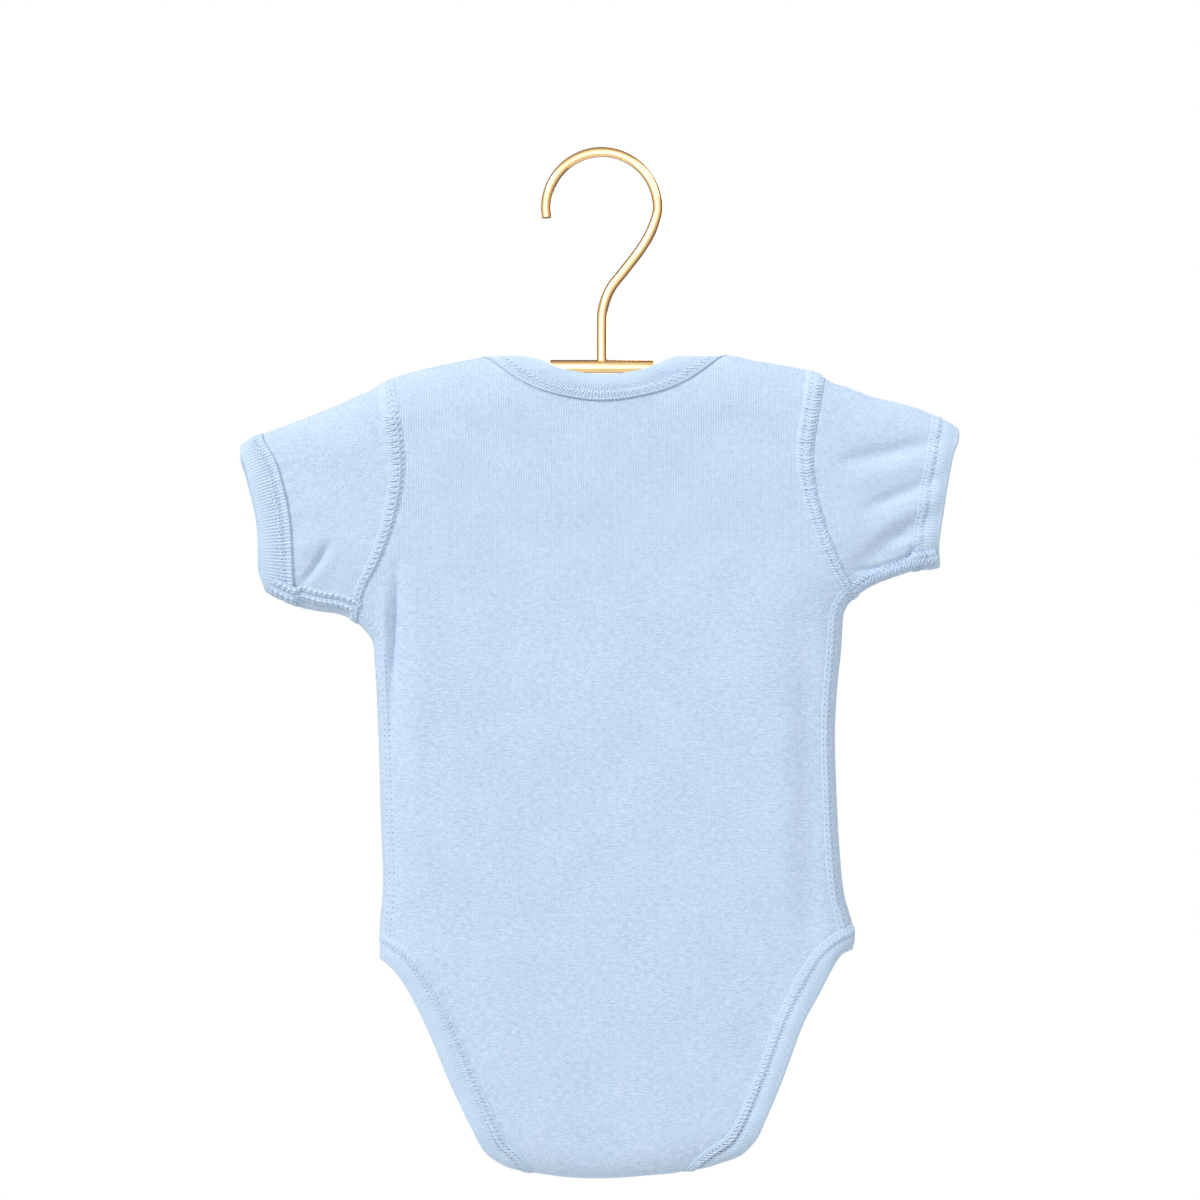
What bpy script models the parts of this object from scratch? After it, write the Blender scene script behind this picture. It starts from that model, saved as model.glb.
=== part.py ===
"""A short-sleeved baby bodysuit hung flat on a small brass hanger.

The bodysuit is built the way it is sewn. Each piece is cut in one flat plan, the plan is
carried round the shoulder, sleeve, side and crotch folds, and the cloth gets its thickness
along the folded surface. Bindings are strips of rib that close round a raw edge, made from
the points of the edge that they cover.

Every size below is in millimetres, and the meshes are written in metres. The origin is the
inside top of the hanger's hook. +Z is up, the garment's back looks along -Y, and left and
right are those of someone who looks at the back.
"""
import math
from collections import namedtuple

import bmesh
import bpy
import numpy as np
from mathutils import Vector
from mathutils.geometry import delaunay_2d_cdt

MM = 0.001

# ---------------------------------------------------------------- driving dimensions
CLOTH = 1.1             # thickness of the jersey
SEAM_GAP = 0.3          # free space between two pieces that are sewn together
EDGE_GAP = 0.55         # free space between a raw edge and the fold of its binding
RIB = 1.0               # thickness of one leg of a folded rib binding
HALF_DEPTH = 9.5        # middle of the garment to the outside of its back or front
CUFF_HALF_DEPTH = 7.0   # the same, at the cuffs
SHOULDER_ROUND = 25.0   # how far from a shoulder fold the cloth reaches its full depth
SIDE_ROUND = 35.0       # the same from a side fold
CROTCH_ROUND = 20.0     # the same from the crotch fold
SEAM_WRAP = 4.7         # side seams lie on the back, this far in from the side fold
NECK_BAND = 12.6        # width of the neck bindings
LEG_BAND = 11.0         # width of the leg bindings
CUFF_BAND_LEFT = 14.0
CUFF_BAND_RIGHT = 11.5
CUFF_SKEW = 2.7         # the left cuff's front layer shows this far beyond its back layer
LAP_SINK = 4.1          # how deep the front panel lies under the shoulder laps
FLAP_SINK = 4.1         # how deep the crotch flap lies under the front tab
CUFF_SKEW_RIGHT = 0.8   # the same, at the right cuff
SKEW_FADE = 12.0        # the skew fades to nothing over this much of the cuff by each fold
TAB_CLEAR = 12.0        # crotch fold up to the front tab's lower edge
TAPER_START = 105.0     # from the middle of the body to where its depth starts to lessen
TAPER = 60.0            # the depth is the cuffs' this much further out
BODY_MIDDLE = (3.0, -230.0)

# meshing
PLAN_STEP = 1.0         # spacing of the points on a smooth curve of the plan
CURVE_SAMPLES = 24      # points worked out between two knots of a curve
ARMHOLE_POINTS = 90
PANEL_SPACING = 18.0
FLAP_SPACING = 11.0
EDGE_SPACING = 10.5
NECK_SPACING = 8.0
CREASE_SPACING = 12.0
# how far past a fold's crest a mesh has its rows, in millimetres of cloth
CREST_STOPS = (-14.0, -8.5, -4.8, -2.2, 0.0, 2.2, 4.8, 8.5, 13.0)
SIDE_STOPS = (4.6, 2.3, 0.0, -2.3, -4.6, -8.0, -13.0, -21.0)
INNER_STOPS = (12.5, 20.0)
LAP_STOPS = (-21.0, -14.0, -8.5, -4.8, -2.2)
TOP_ROWS = (0.0, 2.2, 4.8, 8.5, 14.0, 22.0, -2.2, -4.8, -8.5, -14.0)
BACK_SIDE_ROWS = (12.5, 20.0, 30.0)
FRONT_SIDE_ROWS = (0.0, 2.3, 4.6, 8.0, 13.0, 21.0, 31.0, -2.3, -4.6)
CROTCH_ROWS = (-24.0, -18.0, -14.0, -11.0, -8.5, -4.8, -2.2, 0.0, 2.2, 4.8, 8.5, 14.0, 22.0)
SLEEVE_SHARES = (0.0, 0.34, 0.68, 1.0)

# hanger
WIRE = 4.65             # diameter of the hook's wire
HOOK_RADIUS = 26.0      # bend of the hook, at the middle of its wire
BAR = 6.0               # diameter of the bar
BAR_HALF_LENGTH = 24.0
BAR_HEIGHT = -97.4
ROD = 4.0               # diameter of the rods inside the shoulders
HOOK_TURN = (190, -14, -12)     # degrees round the peg: start, end and step
STEM = ((22.6, -35.0), (17.6, -43.4), (10.2, -53.0), (3.6, -61.8), (0.4, -71.0), (0.0, -80.0))
ROD_KNEE = ((36.0, -1.2), (48.0, -1.8), (60.0, -2.2))   # outwards, and below the bar's middle
ROD_TIP = {"left": (-96.5, -106.8), "right": (94.5, -104.6)}
ROD_SHARES = (0.18, 0.45, 0.72, 1.0)    # points between a rod's knee and its tip

# snaps
SNAP_MIDDLE = (2.0, -451.6)
SNAP_SPACING = 27.0
SNAP_LIFT = 1.6         # the outer snaps sit this much higher
SNAP_CAP_RADIUS = 5.0
SNAP_POST_RADIUS = 2.2
SNAP_HOLE_RADIUS = 2.6
SNAP_MIDDLE_RADIUS = 4.2
SNAP_CAP_HEIGHT = 1.5
SNAP_BEVEL = 1.4
SNAP_RIM_HEIGHT = 0.9
SNAP_COLLAR = 1.0       # cloth round a cap that keeps its own ring of points

# The fold lines of the plan: points (x, z) on the garment's outline, seen from behind.
TOP_FOLD = {
    "left": ((10, -82), (-43, -92.6), (-71, -96.1), (-98, -103.3), (-118, -113.2),
             (-140, -122.2), (-156, -128), (-178, -137)),
    "right": ((-10, -82), (41, -92.8), (62, -93.6), (83, -96.7), (99, -100.2), (118, -108.4),
              (138, -114.3), (152, -119), (164, -126), (180, -137)),
}
SIDE_FOLD = {
    "left": ((-170, -195.5), (-157, -201.5), (-146, -206.8), (-133, -211.0), (-121, -213),
             (-113, -217.5), (-108, -224), (-106, -233), (-104.2, -262), (-102.8, -308),
             (-101.8, -338), (-103.6, -360), (-104.5, -380), (-104.5, -475)),
    "right": ((175, -186), (157, -189.8), (141, -193.0), (129, -197), (120, -202.8),
              (113.2, -210), (110.8, -222), (108.6, -250), (107.9, -275), (109.7, -317),
              (112, -342), (116.6, -358), (118, -375), (118, -475)),
}
CROTCH_FOLD = ((-85, -460), (-50, -467.6), (-28, -472.8), (-8, -474.8), (18, -473.8),
               (42, -469.6), (60, -466), (95, -458))

# The cut lines of the plan, each on the raw edge that a binding then covers.
BACK_NECK = ((-118, -54.5), (-100, -57.5), (-82, -63), (-62, -71.5), (-47, -81), (-33, -92),
             (-20, -98.6), (0, -102.8), (20, -98.9), (34, -92.2), (50, -80), (64, -70.5),
             (84, -60.5), (101, -53.5), (117, -49))
FRONT_NECK = ((-112, -118.5), (-92, -112), (-73, -107.2), (-58, -108), (-46, -114.5),
              (-36, -125.5), (-22, -135), (0, -139.5), (22, -135), (36, -125.5), (46, -114.5),
              (58, -107), (73, -105.8), (92, -109.5), (112, -115.5))
LEG = {
    "left": ((-47.5, -520), (-46.5, -502), (-44.3, -487), (-43.6, -477), (-46.5, -470.8),
             (-54.2, -462.6), (-60, -450.5), (-70, -428.8), (-82, -401), (-92.4, -382.6),
             (-99.5, -375.2), (-107, -372.2), (-115, -373.4), (-125, -378.6), (-136, -390),
             (-146.5, -406), (-155, -426), (-159.8, -443), (-161, -457), (-161, -468)),
    "right": ((49, -520), (48.5, -502), (48.2, -487), (49.5, -477.5), (54.5, -471),
              (65.5, -462.5), (73, -451), (82.5, -428.8), (93, -401), (102.8, -382),
              (111, -372.6), (120, -368.6), (130, -369.8), (142, -376), (155, -388),
              (167.5, -405), (177, -425), (182.5, -443), (184, -457), (184, -468)),
}
ARMHOLE = {
    "left": ((-100.4, -104.3), (-98, -117), (-95.2, -132), (-94.4, -149), (-98, -169),
             (-105, -188.8), (-111, -200), (-115, -215.6)),
    "right": ((99, -100.6), (95.6, -120), (93.2, -137), (94.6, -153), (100.5, -174),
              (108, -191), (114, -200.5), (117.6, -204.9)),
}
CUFF = {
    "left": ((-166.2, -132.2), (-162.9, -146), (-157.9, -163.5), (-156.0, -181), (-155.6, -194),
             (-154.4, -202.8)),
    "right": ((163.0, -125.4), (161.0, -138), (158.3, -152), (156.0, -167), (154.6, -180),
              (154.9, -190.2)),
}

# Soft folds of the hanging cloth. Each runs from (x0, z0) to (x1, z1) on one face, and is
# raised or sunk by its height.
Crease = namedtuple("Crease", "face x0 z0 x1 z1 width height")
BACK, FRONT = -1, 1
CREASES = (
    Crease(BACK, -94.5, -212, -96.0, -262, 3.2, -1.7),
    Crease(BACK, -99.8, -214, -100.5, -252, 2.6, 0.9),
    Crease(BACK, -139.0, -199, -125.5, -179, 3.4, -1.6),
    Crease(BACK, 112.0, -152, 154.0, -126, 6.5, -1.5),
    Crease(BACK, 119.0, -190, 151.0, -160, 6.0, -1.6),
    Crease(BACK, 120.0, -172, 150.0, -143, 6.0, 0.8),
    Crease(BACK, 93.5, -206, 97.0, -400, 7.0, -1.5),
    Crease(BACK, 60.0, -428, 92.0, -372, 9.0, -0.8),
    Crease(BACK, -55.0, -420, -88.0, -374, 8.0, -0.9),
    Crease(FRONT, 94.0, -214, 90.0, -285, 5.0, -1.5),
    Crease(FRONT, -92.0, -220, -88.0, -345, 6.5, -1.3),
    Crease(FRONT, 138.0, -186, 120.0, -160, 5.0, -1.4),
    Crease(FRONT, -146.0, -160, -118.0, -186, 5.5, -1.5),
    Crease(FRONT, -20.0, -168, 16.0, -176, 11.0, -0.9),
    Crease(FRONT, 70.0, -372, 40.0, -418, 8.0, -1.0),
)

# How deep a panel lies under its neighbour, by the distance from a fold.
Sink = namedtuple("Sink", "distance depth")
LAP_SINKS = (Sink(0, LAP_SINK), Sink(30, LAP_SINK), Sink(40, 2.8), Sink(57, 2.8), Sink(78, 0))
FLAP_SINKS = (Sink(0, 0), Sink(4, 0.7), Sink(12.5, FLAP_SINK), Sink(80, FLAP_SINK))


# ---------------------------------------------------------------- curves of the plan
def smooth(points, step=PLAN_STEP):
    """Returns evenly spaced points on a centripetal Catmull-Rom curve through the given ones."""
    knots = np.array(points, float)
    first = 2 * knots[0] - knots[1]
    last = 2 * knots[-1] - knots[-2]
    knots = np.vstack((first, knots, last))
    dense = []
    for p0, p1, p2, p3 in zip(knots, knots[1:], knots[2:], knots[3:]):
        t1 = np.linalg.norm(p1 - p0) ** 0.5
        t2 = t1 + np.linalg.norm(p2 - p1) ** 0.5
        t3 = t2 + np.linalg.norm(p3 - p2) ** 0.5
        t = np.linspace(t1, t2, CURVE_SAMPLES, endpoint=False)[:, None]
        a1 = ((t1 - t) * p0 + t * p1) / t1
        a2 = ((t2 - t) * p1 + (t - t1) * p2) / (t2 - t1)
        a3 = ((t3 - t) * p2 + (t - t2) * p3) / (t3 - t2)
        b1 = ((t2 - t) * a1 + t * a2) / t2
        b2 = ((t3 - t) * a2 + (t - t1) * a3) / (t3 - t1)
        dense.append(((t2 - t) * b1 + (t - t1) * b2) / (t2 - t1))
    dense = np.vstack(dense + [knots[-2:-1]])
    return spread(dense, np.linspace(0, 1, max(2, round(length(dense) / step)) + 1))


def arcs(line):
    """Returns how far along a line each of its points lies."""
    steps = np.linalg.norm(np.diff(line, axis=0), axis=1)
    return np.concatenate(([0.0], np.cumsum(steps)))


def length(line):
    return arcs(line)[-1]


def at(line, distances):
    """Returns the points that lie at the given distances along a line."""
    along = arcs(line)
    return np.stack([np.interp(distances, along, line[:, i]) for i in range(line.shape[1])], -1)


def spread(line, shares):
    """Returns the points at the given shares of a line's length."""
    return at(line, np.asarray(shares) * length(line))


def sideways(line):
    """Returns the unit normal to the left of each point of a line."""
    run = np.gradient(line, axis=0)
    run /= np.linalg.norm(run, axis=1)[:, None]
    return np.stack((-run[:, 1], run[:, 0]), -1)


def nearest(line, points):
    """Returns each point's nearest segment of a line, the share along it and the gap to it."""
    start, run = line[:-1], np.diff(line, axis=0)
    reach = points[:, None, :] - start[None]
    share = np.clip((reach * run).sum(2) / np.maximum((run * run).sum(1), 1e-12), 0, 1)
    away = reach - share[..., None] * run
    near = (away ** 2).sum(2).argmin(1)
    rows = np.arange(len(points))
    return near, share[rows, near], away[rows, near]


def table(rows, distance):
    """Returns the depth that a table of sinks gives at a distance."""
    return np.interp(distance, [row.distance for row in rows], [row.depth for row in rows])


# ---------------------------------------------------------------- folding the plan
def half_depth(place):
    """Half of the garment's depth: full in the body, less towards the cuffs."""
    share = np.clip((np.abs(place[:, 0]) - TAPER_START) / TAPER, 0, 1)
    return HALF_DEPTH - (HALF_DEPTH - CUFF_HALF_DEPTH) * share * share * (3 - 2 * share)


class Fold:
    """A line of the plan where the cloth turns over from one face to the other.

    Cloth turns square to the line, or, where straight gives two places, square to the
    straight line through them.
    """

    def __init__(self, points, reach, straight=None):
        self.line = smooth(points)
        self.reach = reach
        self.normals = sideways(self.line)
        self.way = None
        if straight:
            run = np.array(straight[1], float) - straight[0]
            self.way = run / np.linalg.norm(run)
            self.normals[:] = (-self.way[1], self.way[0])
        middle = len(self.line) // 2
        if np.dot(BODY_MIDDLE - self.line[middle], self.normals[middle]) < 0:
            self.normals = -self.normals

    def look(self, points):
        """Returns each point's distance inside the fold, its foot on it and the way inwards."""
        return self.look_near(points) if self.way is None else self.look_straight(points)

    def look_straight(self, points):
        along_line = self.line @ self.way
        along = np.clip(points @ self.way, along_line[0], along_line[-1])
        foot = np.stack([np.interp(along, along_line, self.line[:, i]) for i in (0, 1)], -1)
        normal = np.repeat(self.normals[:1], len(points), axis=0)
        gap = points - foot
        distance = (gap * normal).sum(1)
        beyond = np.abs(points @ self.way - along) > 1e-6
        distance[beyond] = np.linalg.norm(gap[beyond], axis=1)
        normal[beyond] = gap[beyond] / np.maximum(distance[beyond], 1e-9)[:, None]
        return distance, foot, normal

    def look_near(self, points):
        near, part, gap = nearest(self.line, points)
        foot = points - gap
        part = part[:, None]
        normal = self.normals[near] * (1 - part) + self.normals[near + 1] * part
        distance = np.linalg.norm(gap, axis=1)
        sign = np.where((gap * normal).sum(1) < 0, -1.0, 1.0)
        past_end = (near + part[:, 0] <= 0) | (near + part[:, 0] >= len(self.line) - 1)
        sign[past_end] = 1.0
        clear = distance > 0.4
        normal[clear] = (sign / np.maximum(distance, 1e-9))[clear, None] * gap[clear]
        return sign * distance, foot, normal

    def slack(self, foot):
        """The cloth that the turn takes up on each side of the fold."""
        return half_depth(foot) ** 2 / self.reach

    def carry(self, points):
        """Carries points of the plan round the fold: their place and their share of the depth."""
        distance, foot, normal = self.look(points)
        slack = self.slack(foot)
        past = distance + slack
        inward = np.sqrt(past ** 2 + slack ** 2) - slack
        fullness = 1 - np.clip(1 - inward / self.reach, 0, 1) ** 2
        return foot + normal * inward[:, None], np.sign(past) * np.sqrt(fullness)

    def flatten(self, places):
        """Undoes carry for places on the same side of the fold as their plan."""
        distance, foot, normal = self.look(places)
        slack = self.slack(foot)
        past = np.sqrt((np.maximum(distance, 0) + slack) ** 2 - slack ** 2)
        return foot + normal * (past - slack)[:, None]

    def other_plan(self, points):
        """Moves points between the plan of one face and the plan of the other."""
        distance, foot, normal = self.look(points)
        slack = self.slack(foot)
        return foot - normal * (distance + 2 * slack)[:, None]

    def past(self, points):
        """Cloth between each point of the plan and the fold's crest, positive inside."""
        distance, foot, _ = self.look(points)
        return distance + self.slack(foot)

    def row(self, past, start, end, spacing):
        """Points of the plan a given stretch of cloth past the crest, between two places."""
        along = arcs(self.line)
        first, last = self.where(start), self.where(end)
        count = max(1, round(abs(last - first) / spacing))
        stations = np.linspace(first, last, count + 1)
        foot = at(self.line, stations)
        normal = np.stack([np.interp(stations, along, self.normals[:, i]) for i in (0, 1)], -1)
        return foot + normal * (past - self.slack(foot))[:, None]

    def where(self, place):
        """How far along the fold the point nearest to a place lies."""
        _, foot, _ = self.look(np.array([place], float))
        near, part, _ = nearest(self.line, foot)
        return np.interp(near[0] + part[0], np.arange(len(self.line)), arcs(self.line))


TOP = {side: Fold(points, SHOULDER_ROUND, (points[1], points[3] if side == "left" else points[4]))
       for side, points in TOP_FOLD.items()}
SIDE = {side: Fold(points, SIDE_ROUND) for side, points in SIDE_FOLD.items()}
CROTCH = Fold(CROTCH_FOLD, CROTCH_ROUND, ((-50, -470), (50, -470)))
FOLDS = (TOP["left"], TOP["right"], SIDE["left"], SIDE["right"], CROTCH)


def crease_height(place, face):
    """How far the soft folds raise the cloth at each place."""
    height = np.zeros(len(place))
    for crease in CREASES:
        start = np.array((crease.x0, crease.z0))
        run = np.array((crease.x1, crease.z1)) - start
        span = np.linalg.norm(run)
        rel = place - start
        along = rel @ run / span ** 2
        across = (rel[:, 0] * run[1] - rel[:, 1] * run[0]) / span
        ends = np.clip(1 - (2 * along - 1) ** 2, 0, 1) ** 0.8
        wave = crease.height * ends * np.exp(-(across / crease.width) ** 2)
        height += np.where(face == crease.face, wave, 0)
    return height


def fold_up(plan, face):
    """Carries points of one face's plan to the folded cloth's outer surface."""
    place = np.array(plan, float)
    share = np.full(len(place), float(face))
    for fold in FOLDS:
        place, turn = fold.carry(place)
        share = share * turn
    depth = share * (half_depth(place) + crease_height(place, np.sign(share)))
    return np.stack((place[:, 0], depth, place[:, 1]), -1)


def outward(plan, face):
    """Returns the folded surface's outward normals."""
    step = 0.1
    across = fold_up(plan + (step, 0), face) - fold_up(plan - (step, 0), face)
    up = fold_up(plan + (0, step), face) - fold_up(plan - (0, step), face)
    normal = np.cross(across, up) * -face
    return normal / np.linalg.norm(normal, axis=1)[:, None]


def surface(plan, face, level):
    """Returns points of the cloth at a level above its outer surface."""
    return fold_up(plan, face) + outward(plan, face) * np.asarray(level)[..., None]


def back_level(plan):
    """The back panel sinks where its crotch flap runs under the front tab."""
    return -table(FLAP_SINKS, -CROTCH.past(plan))


def front_level(plan):
    """The front panel sinks where it runs under the shoulder laps."""
    near = np.minimum(TOP["left"].look(plan)[0], TOP["right"].look(plan)[0])
    return -table(LAP_SINKS, near)


LEVEL = {BACK: back_level, FRONT: front_level}


# ---------------------------------------------------------------- strips along bound edges
def crossing(line, values, target):
    """Distance along a line where its values first reach the target."""
    above = values - target
    turn = np.nonzero(np.sign(above[:-1]) != np.sign(above[1:]))[0][0]
    share = above[turn] / (above[turn] - above[turn + 1])
    along = arcs(line)
    return along[turn] + share * (along[turn + 1] - along[turn])


def strip_rows(path, inward_sign, offsets):
    """Offsets a cut line into the cloth, one row for each distance."""
    normal = sideways(path) * inward_sign
    return [path + normal * offset for offset in offsets]


def trimmed(row, start, end):
    """Cuts a row to the stretch between two distances and keeps its points evenly spaced."""
    count = max(2, round((end - start) / PLAN_STEP))
    return at(row, np.linspace(start, end, count + 1))


def grid_between(rows, stops, spacing):
    """Lays stations over the rows of a strip: each row's stops, and even steps between them."""
    marks = np.array([[0, *places, length(row)] for row, places in zip(rows, stops)])
    counts = np.maximum(1, np.round(np.diff(marks, axis=1).mean(0) / spacing)).astype(int)
    grid = []
    for row, ends in zip(rows, marks):
        steps = [np.linspace(first, last, count, endpoint=False)
                 for first, last, count in zip(ends, ends[1:], counts)]
        grid.append(at(row, np.concatenate(steps + [ends[-1:]])))
    return np.array(grid)


def fold_stops(row, fold, pasts, backwards=False):
    """Distances along a row where it lies given stretches of cloth past a fold's crest."""
    line = row[::-1] if backwards else row
    stops = [crossing(line, fold.past(line), past) for past in pasts]
    return [length(row) - stop for stop in stops[::-1]] if backwards else stops


# A corner of a folded binding's section: the row of its strip that it belongs to, how far
# beyond that row it lies, and its level above the panel's outer surface.
Corner = namedtuple("Corner", "row beyond level")
OUTER, INNER = SEAM_GAP + RIB, -(CLOTH + SEAM_GAP + RIB)
EDGE_CORNERS = (
    Corner(0, 0.3, OUTER), Corner(0, EDGE_GAP + 0.8, 0.75), Corner(0, EDGE_GAP + RIB, -0.5 * CLOTH),
    Corner(0, EDGE_GAP + 0.8, -CLOTH - 0.75), Corner(0, 0.3, INNER),
)
CRADLE_CORNERS = (Corner(0, EDGE_GAP, -CLOTH - 0.7), Corner(0, EDGE_GAP, 0.7))


def section(rows):
    """The corners of a binding's section, round its outside and back along its inside."""
    inward = range(1, rows)
    outward_rows = range(rows - 1, 0, -1)
    return (tuple(Corner(row, 0, OUTER) for row in outward_rows) + EDGE_CORNERS
            + tuple(Corner(row, 0, INNER) for row in inward)
            + tuple(Corner(row, 0, -CLOTH - SEAM_GAP) for row in outward_rows) + CRADLE_CORNERS
            + tuple(Corner(row, 0, SEAM_GAP) for row in inward))


def binding_points(grid, face, level):
    """Returns the section points of a binding, one ring for each station of its strip."""
    away = grid[0] - grid[1]
    away /= np.linalg.norm(away, axis=1)[:, None]
    rings = []
    for corner in section(len(grid)):
        plan = grid[corner.row] + away * corner.beyond
        rings.append(surface(plan, face, level(grid[corner.row]) + corner.level))
    return np.array(rings).transpose(1, 0, 2)


# ---------------------------------------------------------------- meshes
def colour_material(name, colour, roughness, metallic=0.0):
    material = bpy.data.materials.new(name)
    material.use_nodes = True
    shader = material.node_tree.nodes["Principled BSDF"]
    shader.inputs["Base Color"].default_value = (*colour, 1.0)
    shader.inputs["Roughness"].default_value = roughness
    shader.inputs["Metallic"].default_value = metallic
    return material


def add_object(name, points, faces, material):
    """Makes one closed object from points in millimetres."""
    mesh = bpy.data.meshes.new(name)
    mesh.from_pydata([Vector(point) * MM for point in points], [], faces)
    work = bmesh.new()
    work.from_mesh(mesh)
    bmesh.ops.recalc_face_normals(work, faces=work.faces)
    if work.calc_volume(signed=True) < 0:
        bmesh.ops.reverse_faces(work, faces=work.faces)
    work.to_mesh(mesh)
    work.free()
    mesh.materials.append(material)
    mesh.shade_smooth()
    mesh.set_sharp_from_angle(angle=math.radians(40))
    body = bpy.data.objects.new(name, mesh)
    bpy.context.scene.collection.objects.link(body)
    return body


def tube_faces(ring_count, ring_size, closed, rows=None):
    """Faces that join a row of rings, with flat ends unless the row closes on itself.

    Where the strip row of each corner is given, faces are split the way the panel under
    them is, from a row to the next row's following station.
    """
    faces = []
    for ring in range(ring_count if closed else ring_count - 1):
        here = ring * ring_size
        there = (ring + 1) % ring_count * ring_size
        for i in range(ring_size):
            j = (i + 1) % ring_size
            if rows is None:
                faces.append((here + i, here + j, there + j, there + i))
            elif rows[i] > rows[j]:
                faces += [(here + i, here + j, there + i), (here + j, there + j, there + i)]
            else:
                faces += [(here + i, here + j, there + j), (here + i, there + j, there + i)]
    if not closed:
        faces.append(tuple(range(ring_size)))
        faces.append(tuple(reversed(range((ring_count - 1) * ring_size, ring_count * ring_size))))
    return faces


def add_binding(name, rings, rows, material, closed=False):
    """Makes a binding from its section points and the number of rows in its strip."""
    corner_rows = [corner.row for corner in section(rows)]
    faces = tube_faces(len(rings), len(corner_rows), closed, corner_rows)
    return add_object(name, rings.reshape(-1, 3), faces, material)


def inside(outline, points):
    """Tells which points lie inside a closed outline."""
    x, z = points[:, 0:1], points[:, 1:2]
    x0, z0 = outline[:, 0], outline[:, 1]
    x1, z1 = np.roll(x0, -1), np.roll(z0, -1)
    spans = (z0 > z) != (z1 > z)
    rise = np.where(z1 == z0, 1e-9, z1 - z0)
    hits = spans & (x < (x1 - x0) * (z - z0) / rise + x0)
    return hits.sum(1) % 2 == 1


def edge_distance(outline, points):
    return np.linalg.norm(nearest(np.vstack((outline, outline[:1])), points)[2], axis=1)


def honeycomb(outline, spacing):
    """Points of an even triangular pattern over an outline."""
    low, high = outline.min(0), outline.max(0)
    rise = spacing * math.sqrt(3) / 2
    rows = []
    for index, z in enumerate(np.arange(low[1], high[1], rise)):
        x = np.arange(low[0] + (index % 2) * spacing / 2, high[0], spacing)
        rows.append(np.stack((x, np.full(len(x), z)), -1))
    return np.vstack(rows)


def crease_points(face, spacing):
    """Points along the middle and both flanks of each soft fold of one face."""
    rows = []
    for crease in (row for row in CREASES if row.face == face):
        start, end = np.array((crease.x0, crease.z0)), np.array((crease.x1, crease.z1))
        run = end - start
        span = np.linalg.norm(run)
        flank = np.array((-run[1], run[0])) / span * crease.width
        count = max(2, round(span / spacing))
        middle = start + run * np.linspace(0, 1, count + 1)[:, None]
        rows += [middle, middle + flank, middle - flank]
    return np.vstack(rows)


def triangulate(outline, strips, groups, holes):
    """Fills an outline of the plan with triangles that keep the strips' own grids."""
    points = [outline]
    edges = [(i, (i + 1) % len(outline)) for i in range(len(outline))]
    base = len(outline)
    for grid in strips:
        rows, stations = grid.shape[:2]
        for r in range(rows):
            for s in range(stations):
                here = base + r * stations + s
                if s + 1 < stations:
                    edges.append((here, here + 1))
                if r + 1 < rows:
                    edges.append((here, here + stations))
                if r + 1 < rows and s + 1 < stations:
                    edges.append((here, here + stations + 1))
        points.append(grid.reshape(-1, 2))
        base += rows * stations
    for ring, collar in holes:
        edges += [(base + i, base + (i + 1) % len(ring)) for i in range(len(ring))]
        points += [ring, collar]
        base += len(ring) + len(collar)
    kept = np.vstack(points)
    covers = [np.vstack((grid[0], grid[:, -1], grid[-1][::-1], grid[::-1, 0])) for grid in strips]
    for group, edge_gap, point_gap in groups:
        fresh = group[inside(outline, group)]
        fresh = fresh[edge_distance(outline, fresh) > edge_gap]
        for cover in covers:
            fresh = fresh[~inside(cover, fresh)]
        for ring, _ in holes:
            apart = np.linalg.norm(fresh - ring.mean(0), axis=1)
            fresh = fresh[apart > SNAP_CAP_RADIUS + 0.8 * SNAP_COLLAR]
        for point in fresh:
            if np.linalg.norm(kept - point, axis=1).min() > point_gap:
                kept = np.vstack((kept, point))
    flat = [Vector(point) for point in kept.tolist()]
    found, _, faces, _, _, _ = delaunay_2d_cdt(flat, edges, [], 1, 1e-3, False)
    found = np.array([tuple(point) for point in found])
    centres = np.array([found[list(face)].mean(0) for face in faces])
    keep = inside(outline, centres)
    for ring, _ in holes:
        keep &= ~inside(ring, centres)
    return found, [tuple(face) for face, wanted in zip(faces, keep) if wanted]


def add_panel(name, face, outline, strips, groups, holes, material):
    """Makes one panel: its plan is filled, folded up and given the cloth's thickness."""
    plan, triangles = triangulate(outline, strips, groups, holes)
    used = sorted({corner for triangle in triangles for corner in triangle})
    renumber = {old: new for new, old in enumerate(used)}
    plan = plan[used]
    triangles = [tuple(renumber[corner] for corner in triangle) for triangle in triangles]
    level = LEVEL[face](plan)
    top = surface(plan, face, level)
    under = surface(plan, face, level - CLOTH)
    count = len(plan)
    faces = list(triangles)
    faces += [tuple(corner + count for corner in reversed(triangle)) for triangle in triangles]
    sides = set()
    for triangle in triangles:
        for i in range(3):
            sides.add((triangle[i], triangle[(i + 1) % 3]))
    for a, b in sides:
        if (b, a) not in sides:
            faces.append((b, a, a + count, b + count))
    return add_object(name, np.vstack((top, under)), faces, material)


# ---------------------------------------------------------------- armholes and sleeves
def past_crest(inward, reach):
    """The cloth between a fold's crest and a place that shows this far inside the fold."""
    slack = HALF_DEPTH ** 2 / reach
    return math.sqrt((inward + slack) ** 2 - slack ** 2)


SEAM_PAST = past_crest(SEAM_WRAP, SIDE_ROUND)
TAB_PAST = past_crest(TAB_CLEAR, CROTCH_ROUND)
TOP_STEPS = (0.0, 2.2, 4.8, 8.5, 14.0, 21.0)
SIDE_STEPS = (0.0, 2.3, 4.6, SEAM_PAST, *INNER_STOPS)
MIDDLE_STEPS = 6        # steps of a station line between those near its two folds
LINE_POINTS = 80        # points worked out along a station line


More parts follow.
